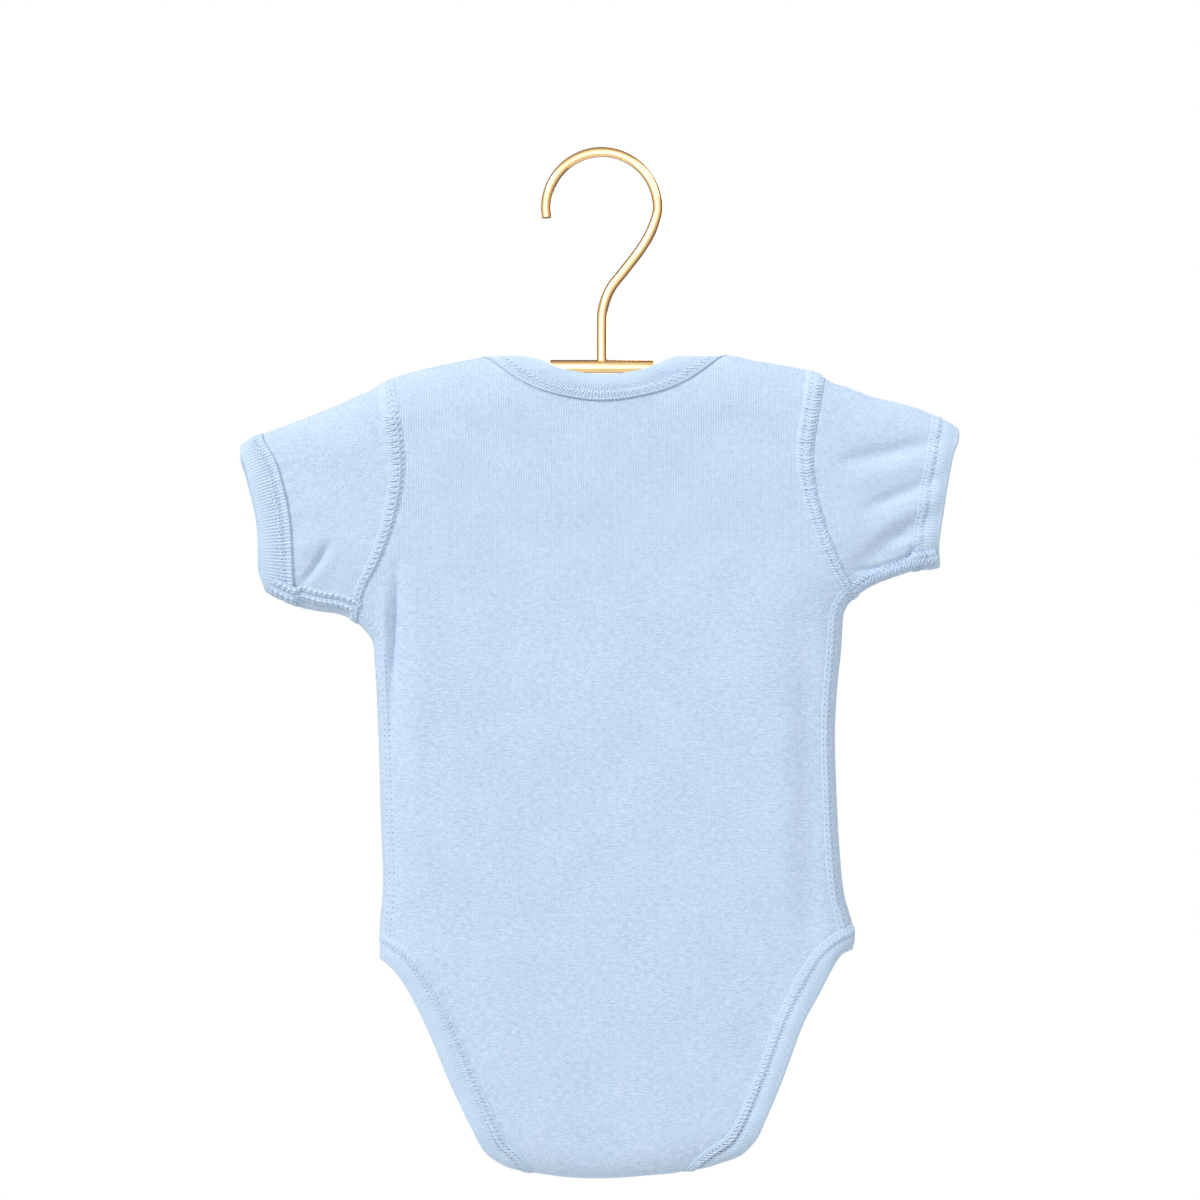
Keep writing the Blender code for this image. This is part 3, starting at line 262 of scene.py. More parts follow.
ARMHOLE = {
    "left": ((-100.4, -104.3), (-98, -117), (-95.2, -132), (-94.4, -149), (-98, -169),
        (-105, -188.8), (-111, -200), (-115, -215.6)),
    "right": ((99, -100.6), (95.6, -120), (93.2, -137), (94.6, -153), (100.5, -174),
        (108, -191), (114, -200.5), (117.6, -204.9)),
}
CUFF = {
    "left": ((-166.2, -132.2), (-162.9, -146), (-157.9, -163.5), (-156.0, -181), (-155.6, -194),
        (-154.4, -202.8)),
    "right": ((163.0, -125.4), (161.0, -138), (158.3, -152), (156.0, -167), (154.6, -180),
        (154.9, -190.2)),
}
print("marks on the back neck:", len(BACK_NECK), "on a leg:", len(LEG["left"]))

# %% Where the cloth has settled
# Where the hanging cloth has moved off the marks above: the place (x, z), how wide and how
# tall it is, and how far it moved (x, z).
Settle = namedtuple("Settle", "x z wide tall dx dz")
SETTLED = [Settle(*row) for row in (
    (-166, -131, 5.5, 5.5, 0.6, -1.2), (-153.5, -128, 10, 10, -4.5, -1.9),
    (-170, -139, 5, 5, -1.2, 0), (-163, -162, 12, 12, -0.8, 0), (-161, -186, 12, 12, -0.8, 0),
    (-160, -199, 6, 6, -1.4, 0), (-140, -210, 5, 5, 0, -0.6), (-107, -226, 6, 6, 0.8, 0),
    (-108, -108, 5.5, 5.5, 0, -0.9), (107, -104, 6, 6, 0, -1.3), (127, -112, 8, 8, 0, -0.7),
    (158, -121, 7, 7, 0.6, -0.4), (155, -190, 5, 5, 0.8, -0.9), (111, -228, 8, 12, 0.8, 0),
    (101, -388, 9, 9, 0.9, -0.5), (46, -470.5, 12, 6, 0, -0.8), (66, -462, 9, 7, 0.3, -0.9),
    (166, -131, 6, 6, 2.2, 0), (133, -196, 12, 12, 0, -1.1), (114, -371, 7, 7, -2.0, 0.8),
    (-104, -368, 6, 7, 1.4, 0), (-36, -92, 6, 6, 0, -1.5), (37, -92, 6, 6, 0, -0.6),
    (-57, -93, 6, 6, 0, 1.0), (60, -92.5, 6, 6, 0, 1.1), (33, -472, 8, 8, 0, -0.9),
    (74, -455, 6, 6, 1.0, -0.6), (110, -240, 20, 20, 0.6, 0), (109, -290, 30, 30, 0.6, 0),
    (112, -335, 18, 18, 0.5, 0), (2, -114.5, 30, 7.5, 0, 2.0),
)]

# How deep a panel lies under its neighbour, by the distance from a fold: the front under the
# two shoulder laps, and the crotch flap under the front's tab.
Sink = namedtuple("Sink", "distance depth")
LAP_SINKS = (Sink(0, BOUND_DEPTH), Sink(30, BOUND_DEPTH), Sink(40, 2.8), Sink(57, 2.8),
             Sink(78, 0))
FLAP_SINKS = (Sink(0, 0), Sink(4, 0.7), Sink(12.5, BOUND_DEPTH), Sink(80, BOUND_DEPTH))
print("settled places:", len(SETTLED))

# %% [markdown]
# ## Creases
# Cloth that hangs from a bar is never quite flat. It pulls from the armpits and cuffs, and it
# keeps soft folds from the drawer. A simulation would find its own folds, but these have to
# be particular ones, so each is listed as a soft trough or ridge. The sewing also
# gathers the cloth into short ripples, and slow waves keep the body from looking ironed.

# %% Where the creases lie
# Each row: one end (x, z), the other end (x, z), how far it bows, its width and its height.
BACK_CREASES = (
    (-94.2, -186, -97, -272, 0.6, 2.4, -2.3),
    (-94, -196, -96, -246, 0.6, 1.3, -1.5),
    (-86.5, -188, -89, -350, -0.5, 6.5, 1.2),
    (-100.4, -200, -102, -268, 0.4, 2.4, 2.9),
    (152, -108, 148, -206, 0, 15, 1.2),
    (-139.5, -200, -125, -178, 0.8, 1.9, -2.4),
    (114.5, -192.6, 146, -184, 1.6, 1.3, -2.2),
    (139, -188.6, 147.5, -178.6, 0, 1.3, -1.5),
    (128, -183.5, 149, -177, 0, 2.6, 0.9),
    (106, -143, 162, -130, 1, 3.8, -1.9),
    (118, -165, 158, -148, 0.5, 3.4, -1.8),
    (114, -193, 157, -164, 0, 4.4, -2.3),
    (110, -154, 160, -137, 0, 4.2, 0.8),
    (118, -178, 158, -156, 0, 4.2, 0.8),
    (93.5, -206, 97, -400, 0, 7, -1.9),
    (60, -428, 92, -372, 0, 9, -0.8),
    (-55, -420, -88, -374, 0, 8, -0.9),
    # finer ones
    (-142.5, -190, -131, -172, 1, 4.5, 0.7),
    (-130, -203, -118, -186, 1, 4, -0.5),
    (134, -186, 153, -178, 1, 3, 0.5),
    (101, -205, 103.5, -262, 1, 3.6, 0.5),
    (88, -236, 90, -330, 3, 8, 0.4),
    (100, -300, 104, -378, -2, 4, 0.45),
    (-70, -118, -30, -132, 4, 7, -0.35),
    (74, -116, 30, -130, -4, 7, -0.3),
    (-97, -352, -72, -392, 3, 5, 0.5),
    (-90, -394, -62, -446, -2, 4, -0.4),
    (103, -352, 76, -396, -3, 5, 0.5),
    (84, -404, 62, -452, 2, 4, -0.4),
    (-30, -452, 34, -456, 3, 6, -0.4),
)
FRONT_CREASES = (
    (94, -214, 90, -285, 0, 5, -1.5),
    (-92, -220, -88, -345, 0, 6.5, -1.3),
    (138, -186, 120, -160, 0, 5, -1.4),
    (-146, -160, -118, -186, 0, 5.5, -1.5),
    (-20, -168, 16, -176, 0, 11, -0.9),
    (70, -372, 40, -418, 0, 8, -1),
    # finer ones
    (88, -210, 84, -262, 2, 4.5, 0.6),
    (-86, -216, -82, -290, -2, 5, 0.5),
    (-150, -172, -122, -196, 1, 4, 0.6),
    (150, -150, 116, -146, -2, 5, -0.7),
    (146, -176, 118, -184, 1, 4, 0.6),
    (-44, -158, 30, -186, 6, 8, 0.5),
    (92, -352, 66, -396, 3, 5, 0.5),
    (-94, -350, -60, -412, 3, 6, -0.7),
    (-40, -420, 44, -432, 4, 8, -0.5),
    (20, -230, 34, -330, 5, 13, -0.5),
)
Crease = namedtuple("Crease", "face x0 z0 x1 z1 bow width height")
CREASES = [Crease(face, *row) for face, rows in ((BACK, BACK_CREASES), (FRONT, FRONT_CREASES))
           for row in rows]
print("creases:", len(CREASES))


# %% How high creases, waves and ripples stand
Wave = namedtuple("Wave", "x z pitch height start")
WAVES = (Wave(1.0, 0.25, 84, 0.16, 0.4), Wave(-0.5, 1.0, 118, 0.14, 2.1),
         Wave(0.8, -0.7, 57, 0.09, 4.4), Wave(0.3, 1.0, 41, 0.06, 1.2))


def crease_height(place, face):
    """How far creases and slow waves raise the cloth at each place."""
    height = np.zeros(len(place))
    for wave in WAVES:
        run = place @ np.array((wave.x, wave.z)) / hypot(wave.x, wave.z)
        height += wave.height * np.sin(TURN * run / wave.pitch + wave.start + face)
    for crease in CREASES:
        start = np.array((crease.x0, crease.z0))
        run = np.array((crease.x1, crease.z1)) - start
        span = np.linalg.norm(run)
        rel = place - start
        along = rel @ run / span ** 2
        middle = np.clip(1 - (2 * along - 1) ** 2, 0, 1)
        across = (rel[:, 0] * run[1] - rel[:, 1] * run[0]) / span - crease.bow * middle
        wave = crease.height * middle ** 0.8 * np.exp(-(across / crease.width) ** 2)
        height += np.where(face == crease.face, wave, 0)
    return height


RIPPLES = ((4.7, 0.25), (7.3, 0.3), (11.9, 0.3), (19.0, 0.25))      # pitch, height


def ripple(along, seed):
    """An uneven wave along a seam, from about -1 to 1."""
    return sum(height * np.sin(TURN * along / pitch + seed * (index + 1.7))
               for index, (pitch, height) in enumerate(RIPPLES))


# %% Where the sewing gathers the cloth
Gather = namedtuple("Gather", "line reach height seed")
GATHER_END = 2.2        # beyond this many times its reach, gathering is too low to count
GATHERS = [Gather(smooth(ARMHOLE["left"]), 5.5, 0.30, 1.0),
           Gather(smooth(ARMHOLE["right"]), 5.5, 0.30, 2.3),
           Gather(smooth(SIDE_FOLD["left"]), 8.5, 0.22, 3.1),
           Gather(smooth(SIDE_FOLD["right"]), 8.5, 0.22, 4.6)]
for side in SIDES:
    hem = smooth(CUFF[side])
    cuff_inner = hem - sideways(hem) * OUTWARD[side] * CUFF_BAND[side].width
    GATHERS.append(Gather(cuff_inner, 6.0, 0.25, 5.2))
    leg_line = smooth(LEG[side][5:12])
    leg_inner = leg_line + sideways(leg_line) * OUTWARD[side] * (LEG_BAND["left"].width + LEG_PULL)
    GATHERS.append(Gather(leg_inner, 7.0, 0.22, 6.4))


def gathering(place):
    """How far the sewing gathers the cloth beside each seam."""
    height = np.zeros(len(place))
    for gather in GATHERS:
        reach = GATHER_END * gather.reach
        low, high = gather.line.min(0) - reach, gather.line.max(0) + reach
        close = np.nonzero(((place > low) & (place < high)).all(1))[0]
        if len(close) == 0:
            continue
        segment, share, gap = nearest(gather.line, place[close])
        fade = np.exp(-((gap ** 2).sum(1) / gather.reach ** 2))
        height[close] += gather.height * fade * ripple(segment + share, gather.seed)
    return height


print("gathered seams:", len(GATHERS))

# %% [markdown]
# ## Folding the plan
# Where cloth turns over an edge, it doesn't make a sharp corner: it takes up a little slack
# in a round turn. A Fold carries each point of the plan round its line. The place is where
# the point is seen from behind, and the share is how much of the garment's half depth it
# has, from +1 or -1 on a face to 0 on the crest.

# %% Folds
STRAY, CLEAR = 1e-6, 0.4        # how far off counts as past an end, and as clear of the line


def half_depth(place):
    """Half the garment's depth, which lessens down the sleeves."""
    share = np.clip((np.abs(place[:, 0]) - TAPER_START) / TAPER, 0, 1)
    return HALF_DEPTH - (HALF_DEPTH - CUFF_HALF_DEPTH) * share * share * (3 - 2 * share)


class Fold:
    """A line of the plan where the cloth turns over from one face to the other."""

    def __init__(self, marks, reach, straight=None):
        self.line = smooth(marks)
        self.reach = reach
        self.normals = sideways(self.line)
        self.way = None
        if straight:
            run = np.array(straight[1], float) - straight[0]
            self.way = run / np.linalg.norm(run)
            self.normals[:] = (-self.way[1], self.way[0])
        middle = len(self.line) // 2
        if np.dot(BODY_MIDDLE - self.line[middle], self.normals[middle]) < 0:
            self.normals = -self.normals

    def look(self, points):
        """Each point's distance inside the fold, its foot on it and the way inwards."""
        return self.look_near(points) if self.way is None else self.look_straight(points)

    def look_straight(self, points):
        """The same for a fold whose cloth runs in from a straight line."""
        along_line = self.line @ self.way
        along = np.clip(points @ self.way, along_line[0], along_line[-1])
        foot = between(along, along_line, self.line)
        normal = np.repeat(self.normals[:1], len(points), axis=0)
        gap = points - foot
        distance = (gap * normal).sum(1)
        beyond = np.abs(points @ self.way - along) > STRAY
        distance[beyond] = sizes(gap[beyond])
        normal[beyond] = gap[beyond] / np.maximum(distance[beyond], 1e-9)[:, None]
        return distance, foot, normal

    def look_near(self, points):
        """The same for a curved fold."""
        near, part, gap = nearest(self.line, points)
        foot = points - gap
        part = part[:, None]
        normal = self.normals[near] * (1 - part) + self.normals[near + 1] * part
        distance = sizes(gap)
        sign = np.where((gap * normal).sum(1) < 0, -1.0, 1.0)
        past_end = (near + part[:, 0] <= 0) | (near + part[:, 0] >= len(self.line) - 1)
        sign[past_end] = 1.0
        clear = distance > CLEAR
        normal[clear] = (sign / np.maximum(distance, 1e-9))[clear, None] * gap[clear]
        return sign * distance, foot, normal

    def slack(self, foot):
        """The cloth that the turn takes up on each side of the fold."""
        return half_depth(foot) ** 2 / self.reach

    def carry(self, points):
        """Carries points of the plan round the fold: their place and share of the depth."""
        distance, foot, normal = self.look(points)
        slack = self.slack(foot)
        past = distance + slack
        inward = np.sqrt(past ** 2 + slack ** 2) - slack
        fullness = 1 - np.clip(1 - inward / self.reach, 0, 1) ** 2
        return foot + normal * inward[:, None], np.sign(past) * np.sqrt(fullness)

    def flatten(self, places):
        """Undoes carry for places on the same side of the fold as their plan."""
        distance, foot, normal = self.look(places)
        slack = self.slack(foot)
        past = np.sqrt((np.maximum(distance, 0) + slack) ** 2 - slack ** 2)
        return foot + normal * (past - slack)[:, None]

    def other_plan(self, points):
        """Moves points between the plan of one face and the plan of the other."""
        distance, foot, normal = self.look(points)
        return foot - normal * (distance + 2 * self.slack(foot))[:, None]

    def past(self, points):
        """Cloth between each point of the plan and the fold's crest, positive inside."""
        distance, foot, _ = self.look(points)
        return distance + self.slack(foot)

    def where(self, place):
        """How far along the fold the point nearest to a place lies."""
        _, foot, _ = self.look(np.array([place], float))
        near, part, _ = nearest(self.line, foot)
        return np.interp(near[0] + part[0], np.arange(len(self.line)), arcs(self.line))

    def beside(self, stations, past):
        """Points a stretch of cloth past the crest, at given distances along the fold."""
        foot = at(self.line, stations)
        normal = between(stations, arcs(self.line), self.normals)
        return foot + normal * (past - self.slack(foot))[:, None]

    def row(self, past, start, end, spacing):
        """An even row of such points between two places."""
        first, last = self.where(start), self.where(end)
        count = max(1, round(abs(last - first) / spacing)) + 1
        return self.beside(np.linspace(first, last, count), past)


# %% The garment's five folds
STRAIGHT_END = {"left": 3, "right": 4}      # the mark where the straight of a shoulder ends
TOP = {side: Fold(marks, SHOULDER_ROUND, (marks[1], marks[STRAIGHT_END[side]]))
       for side, marks in TOP_FOLD.items()}
SIDE = {side: Fold(marks, SIDE_ROUND) for side, marks in SIDE_FOLD.items()}
CROTCH = Fold(CROTCH_FOLD, CROTCH_ROUND, ((-50, -470), (50, -470)))
FOLDS = (TOP["left"], TOP["right"], SIDE["left"], SIDE["right"], CROTCH)
print("folds, mm long:", [round(length(fold.line)) for fold in FOLDS])


# %% Folding the cloth
def fold_up(plan, face):
    """Carries points of one face's plan to the folded cloth's outer surface."""
    place = np.array(plan, float)
    share = np.full(len(place), float(face))
    for fold in FOLDS:
        place, turn = fold.carry(place)
        share = share * turn
    raised = crease_height(place, np.sign(share)) + gathering(place) * np.abs(share)
    depth = share * (half_depth(place) + raised)
    for spot in SETTLED:
        gap = place - (spot.x, spot.z)
        weight = np.exp(-((gap / (spot.wide, spot.tall)) ** 2).sum(1))
        place = place + weight[:, None] * (spot.dx, spot.dz)
    return np.stack((place[:, 0], depth, place[:, 1]), -1)


PROBE = 0.15            # how far to each side the slope of the cloth is felt


def lie(plan, face):
    """The folded cloth's outer surface at points of the plan, and its outward normals."""
    across = fold_up(plan + (PROBE, 0), face) - fold_up(plan - (PROBE, 0), face)
    up = fold_up(plan + (0, PROBE), face) - fold_up(plan - (0, PROBE), face)
    return fold_up(plan, face), unit(np.cross(across, up) * -face)


def eased(sinks, distance, ease=3):
    """The depth that a table of sinks gives, with its corners eased over some millimetres."""
    distances, depths = zip(*sinks)
    return sum(np.interp(distance + shift, distances, depths) for shift in (-ease, 0, ease)) / 3


def level_under(plan, face):
    """Panels sink where they run under a neighbour: laps at the shoulders, tab at the crotch."""
    if face == BACK:
        return -eased(FLAP_SINKS, -CROTCH.past(plan))
    return -eased(LAP_SINKS, np.minimum(TOP["left"].look(plan)[0], TOP["right"].look(plan)[0]))


spots = fold_up(np.array(((0.0, -200.0), (-60.0, -300.0))), BACK)
print("two places on the back, in mm:", spots.round(1).tolist())

# %% [markdown]
# ## Finishes
# Every finish here is a procedural material, mixed from noise, waves and real sizes, with no
# pictures. Each cloth piece carries a point attribute called plan: where each point lay in
# the flat cut, in millimetres. The knit is drawn in those millimetres, so a wale has its real
# width and follows the cloth over the folds and down the sleeves.

# %% A small helper for node graphs
class Graph:
    """A node tree whose nodes are added and linked by short calls."""

    def __init__(self, tree):
        self.tree = tree

    def add(self, kind, output=0, inputs=(), **settings):
        """Adds a node, sets or links its inputs, and returns one of its outputs."""
        node = self.tree.nodes.new(kind)
        for name, value in settings.items():
            setattr(node, name, value)
        for socket, value in dict(inputs).items():
            if isinstance(value, bpy.types.NodeSocket):
                self.tree.links.new(value, node.inputs[socket])
            else:
                node.inputs[socket].default_value = value
        return node.outputs[output]

    def math(self, operation, *values):
        """One step of arithmetic."""
        return self.add("ShaderNodeMath", 0, dict(enumerate(values)), operation=operation)

    def noise(self, vector, scale, detail=2.0, stretch=(1, 1, 1)):
        """Soft noise from -1 to 1, with a given number of features to the unit."""
        stretched = self.add("ShaderNodeVectorMath", 0, {0: vector, 1: stretch},
                             operation="MULTIPLY")
        value = self.add("ShaderNodeTexNoise", 0, {"Vector": stretched, "Scale": scale,
                                                   "Detail": detail, "Roughness": 0.55})
        return self.math("MULTIPLY_ADD", value, 2.0, -1.0)

    def total(self, *parts):
        """Adds up (value, weight) pairs."""
        whole = 0.0
        for value, weight in parts:
            whole = self.math("MULTIPLY_ADD", value, weight, whole)
        return whole


# %% A finish
class Finish(Graph):
    """A new material: its slot's colour, its shader's settings and its own nodes."""

    def __init__(self, name, slot_colour, **settings):
        self.material = bpy.data.materials.new(name)
        self.material.use_nodes = True
        self.material.diffuse_color = (*slot_colour, 1.0)
        super().__init__(self.material.node_tree)
        self.shader = self.tree.nodes["Principled BSDF"]
        self.shader.inputs["Base Color"].default_value = (*slot_colour, 1.0)
        for socket, value in settings.items():
            self.shader.inputs[socket.replace("_", " ")].default_value = value

    def numbers(self, name):
        """A point attribute of the piece, whole and as its three numbers."""
        vector = self.add("ShaderNodeAttribute", "Vector", attribute_name=name)
        node = self.tree.nodes.new("ShaderNodeSeparateXYZ")
        self.tree.links.new(vector, node.inputs[0])
        return vector, node.outputs[0], node.outputs[1], node.outputs[2]

    def base(self, share, under, over):
        """Sets the base colour to a mix of two colours."""
        mixed = self.add("ShaderNodeMix", 2, {0: share, 6: under, 7: over}, data_type="RGBA")
        self.tree.links.new(mixed, self.shader.inputs["Base Color"])

    def colours(self, factor, dark, light):
        """Two colours mixed by a factor from -1 to 1."""
        self.base(self.math("MULTIPLY_ADD", factor, 0.5, 0.5), (*dark, 1.0), (*light, 1.0))

    def marks(self, strength, colour):
        """Lays a darker or lighter colour over the base colour."""
        under = self.shader.inputs["Base Color"].links[0].from_socket
        self.base(strength, under, (*colour, 1.0))

    def pits(self):
        """How deep each place lies in the small pits that needles leave, from 0 to 1."""
        vector, stitches, from_row, stitch = self.numbers("sewn")
        part = self.math("SUBTRACT", self.math("FRACT", stitches), 0.5)
        along = self.math("MULTIPLY", part, stitch)
        away = self.math("SQRT", self.math("ADD", self.math("MULTIPLY", along, along),
                                           self.math("MULTIPLY", from_row, from_row)))
        deep = self.math("MULTIPLY_ADD", self.noise(vector, 1.7, 1.0), 0.6, 0.72)
        return self.add("ShaderNodeMapRange", 0, {"Value": away, "From Min": PIT_FLOOR,
                                                  "From Max": PIT_RIM, "To Min": deep,
                                                  "To Max": 0.0},
                        interpolation_type="SMOOTHSTEP")

    def bump(self, height, distance, strength):
        """Raises the surface in the shading alone, by a distance in millimetres."""
        normal = self.add("ShaderNodeBump", 0, {"Height": height, "Distance": distance * MM,
                                                "Strength": strength})
        self.tree.links.new(normal, self.shader.inputs["Normal"])


PIT_FLOOR, PIT_RIM = 0.08, 0.68     # how far from a needle's hole its pit is flat, and ends


def linear(red, green, blue):
    """A screen colour, 0 to 255, as the linear light that shaders use."""
    return tuple(((c / 255 + 0.055) / 1.055) ** 2.4 for c in (red, green, blue))


COTTON = {"Roughness": 0.88, "Sheen_Roughness": 0.45, "Specular_IOR_Level": 0.18}
SPECKS = (1.3, 3.0)     # the yarn's specks: how many to the millimetre, and their detail

# %% [markdown]
# ## The jersey
# Baby bodysuits are cut from cotton interlock, a soft double knit. Its wales, the columns of
# stitches, stand about a millimetre apart here. Real knit is never even: yarn swells and thins,
# which shows as fine specks and short streaks across the wales, and the dye is a little
# cloudy. A scanned texture would repeat, and modelling half a million stitches is too much for
# this size, so the knit is a wave with noise in its path, as both colour and bump. Sheen
# stands for the nap of loose fibres that catches light where the cloth turns away.

# %% Jersey finish
WALE_PITCH, COURSE_PITCH = 1.15, 0.95
FADE_LOW, FADE_HIGH = -235.0, -150.0    # between these heights the body's wales come to show


def knit(finish, vector, along, across):
    """The heights of the knit's wales and courses, -1 to 1, with wandering columns."""
    wander = finish.noise(vector, 0.16, 1.0)
    wander_along = finish.math("MULTIPLY_ADD", wander, 0.35, along)
    wale = finish.math("SINE", finish.math("MULTIPLY", wander_along, TURN / WALE_PITCH))
    lean = finish.math("MULTIPLY_ADD", finish.math("ABSOLUTE", wale), 0.25, across)
    course = finish.math("SINE", finish.math("MULTIPLY", lean, TURN / COURSE_PITCH))
    return wale, course


jersey = Finish("fine pale blue jersey", linear(200, 219, 241), Sheen_Weight=0.22, **COTTON)
vector, along, across, _ = jersey.numbers("plan")
wale, course = knit(jersey, vector, along, across)
specks = jersey.noise(vector, *SPECKS)
mottles = jersey.noise(vector, 0.38, 2.0)
streaks = jersey.noise(vector, 1.2, 2.0, stretch=(0.28, 1.0, 1))
clouds = jersey.noise(vector, 0.045, 3.0)
high_up = jersey.add("ShaderNodeMapRange", 0, {"Value": across, "From Min": FADE_LOW,
                                               "From Max": FADE_HIGH, "To Min": 0.25},
                     interpolation_type="SMOOTHSTEP")
on_sleeve = jersey.math("GREATER_THAN", across, 0.0)
strength = jersey.math("MULTIPLY", jersey.math("MULTIPLY_ADD", on_sleeve, -0.35, high_up),
                       jersey.math("MULTIPLY_ADD", jersey.noise(vector, 0.07, 2.0), 0.8, 0.8))
wale_seen = jersey.math("MULTIPLY", wale, strength)
streaks_seen = jersey.math("MULTIPLY", streaks, jersey.math("SUBTRACT", 1.3, high_up))
jersey.colours(jersey.total((wale_seen, 0.62), (course, 0.08), (specks, 1.6), (mottles, 0.75),
                            (streaks_seen, 1.2), (clouds, 0.4)),
               linear(176, 199, 225), linear(213, 230, 249))
jersey.bump(jersey.total((wale_seen, 0.5), (course, 0.15), (specks, 0.7), (mottles, 0.5),
                         (streaks_seen, 0.8)), 0.14, 0.85)

# %% [markdown]
# ## The rib
# Bindings are 1x1 rib: a raised wale, a groove, and so on, always across the strip so that it
# stretches round the edge. The ribs are raised in the mesh, and the third number of plan says
# how high a point lies on its rib, so that painted shade can make the grooves a little darker.
# The sewing machine's needles leave two rows of small pits beside the inner edge: they are
# drawn in the strip's own millimetres, on the same pitch as the stitches, with painted shade
# in them. A painted shadow also darkens the slope under the strip's inner edge.

# %% Rib finish
RIB_COURSE = 0.8        # one row of the rib's stitches
rib = Finish("pale blue rib", linear(198, 217, 240), Sheen_Weight=0.22, **COTTON)
vector, _, across, relief = rib.numbers("plan")
specks = rib.noise(vector, *SPECKS)
clouds = rib.noise(vector, 0.06, 2.0)
course = rib.math("SINE", rib.math("MULTIPLY", across, TURN / RIB_COURSE))
pit = rib.pits()
# painted shadow: a dark line on the slope under the binding's inner edge, where across is below
# zero
gap = rib.math("MULTIPLY", rib.math("MAXIMUM", rib.math("MULTIPLY", across, -2.0), 0.0),
               rib.math("MULTIPLY_ADD", rib.noise(vector, 0.05, 1.0), 0.6, 0.8))
# painted shade: the grooves between the raised ribs are coloured darker
groove = rib.math("MULTIPLY_ADD", relief, 2.0, -1.0)
rib.colours(rib.total((groove, 1.1), (specks, 0.6), (clouds, 0.3), (course, 0.06)),
            linear(176, 201, 227), linear(216, 233, 251))
# painted shade in the needle pits
rib.marks(rib.math("MULTIPLY", pit, 0.65), linear(132, 160, 192))
# lays the painted shadow under the inner edge
rib.marks(gap, linear(104, 132, 164))
rib.bump(rib.total((course, 0.25), (specks, 0.5), (pit, -0.35)), 0.16, 0.9)

# %% [markdown]
# ## The sewn bands
# Where two edges are overlapped and sewn, the knit no longer shows: it is pressed and pitted
# by the needles, and the shade of the threads over it is painted into its colour. The third
# number of plan says here how much painted shade each place gets: over the sewn part, in a
# groove and along the band's edges.

# %% Sewn jersey finish
seam = Finish("sewn pale blue jersey", linear(204, 222, 243), Sheen_Weight=0.2, **COTTON)
vector, _, _, shaded = seam.numbers("plan")
specks, pit = seam.noise(vector, *SPECKS), seam.pits()
seam.colours(seam.total((specks, 0.7), (seam.noise(vector, 0.2), 0.4)),
             linear(181, 204, 229), linear(216, 233, 251))
# painted shade in the needle pits
seam.marks(seam.math("MULTIPLY", pit, 0.8), linear(136, 163, 196))
# painted shade over the sewn part, in the groove and along the strip's edges
seam.marks(shaded, linear(130, 158, 192))
seam.bump(seam.total((specks, 0.6), (pit, -1.6)), 0.16, 0.9)

# %% [markdown]
# ## Thread and metal
# Sewing thread is spun tighter than the knit, so it is lighter and has a slight gloss. The
# hanger is polished brass that fingers have dulled unevenly: noise moves its roughness. The
# snaps are nickel-plated, cooler and more satin.

# %% Thread and metal finishes
thread = Finish("pale thread", linear(214, 231, 250), Roughness=0.7, Sheen_Weight=0.1,
                Sheen_Roughness=0.4, Specular_IOR_Level=0.25)
thread.colours(thread.noise(thread.numbers("plan")[0], 0.6), linear(200, 222, 247),
               linear(222, 238, 254))
SMUDGES, SCRATCHES = 95.0, 900.0        # how many to the metre


def metal(name, light, dark, roughness, wear):
    """A polished metal with smudges and fine scratches."""
    finish = Finish(name, light, Metallic=1.0, Roughness=roughness)
    place = finish.add("ShaderNodeTexCoord", "Object")
    smudges = finish.noise(place, SMUDGES, 3.0)
    scratches = finish.noise(place, SCRATCHES, 2.0, stretch=(1, 1, 0.12))
    finish.colours(smudges, dark, light)
    rough = finish.total((smudges, wear), (scratches, wear * 0.6))
    rough = finish.math("ADD", rough, roughness)
    finish.tree.links.new(rough, finish.shader.inputs["Roughness"])
    return finish


brass = metal("polished brass", linear(246, 214, 168), linear(232, 190, 134), 0.13, 0.04)
nickel = metal("nickel plate", linear(222, 224, 226), linear(196, 199, 203), 0.27, 0.05)
print("finishes:", [f.material.name for f in (jersey, rib, seam, thread, brass, nickel)])

# %% [markdown]
# ## Making meshes
# Sheets, bindings and threads are all rows of points joined by faces, so mesh code suits them
# better than pushing a primitive about. One helper writes every mesh, in metres, with its
# plan attribute, turns its faces outwards and shades it smooth.

# %% Mesh helper
SHARP = radians(75)        # cloth edges that turn more than this are shaded sharp


def add_piece(name, points, faces, finish, plan, sewn=None):
    """Makes one closed piece from points in millimetres."""
    mesh = bpy.data.meshes.new(name)
    mesh.from_pydata((np.asarray(points) * MM).tolist(), [], faces)
    for title, numbers in (("plan", plan), ("sewn", sewn)):
        if numbers is not None:
            flat = np.zeros((len(points), 3), np.float32)
            flat[:, :np.shape(numbers)[1]] = numbers
            kept = mesh.attributes.new(title, "FLOAT_VECTOR", "POINT")
            kept.data.foreach_set("vector", flat.ravel())
    work = bmesh.new()
    work.from_mesh(mesh)
    bmesh.ops.recalc_face_normals(work, faces=work.faces)
    if work.calc_volume(signed=True) < 0:
        bmesh.ops.reverse_faces(work, faces=work.faces)
    work.to_mesh(mesh)
    work.free()
    mesh.materials.append(finish.material)
    mesh.shade_smooth()
    if finish is not thread:
        mesh.set_sharp_from_angle(angle=SHARP)
    piece = bpy.data.objects.new(name, mesh)
    bpy.context.scene.collection.objects.link(piece)
    mesh.calc_loop_triangles()
    print(f"{name}: {len(mesh.loop_triangles)} triangles")
    return piece


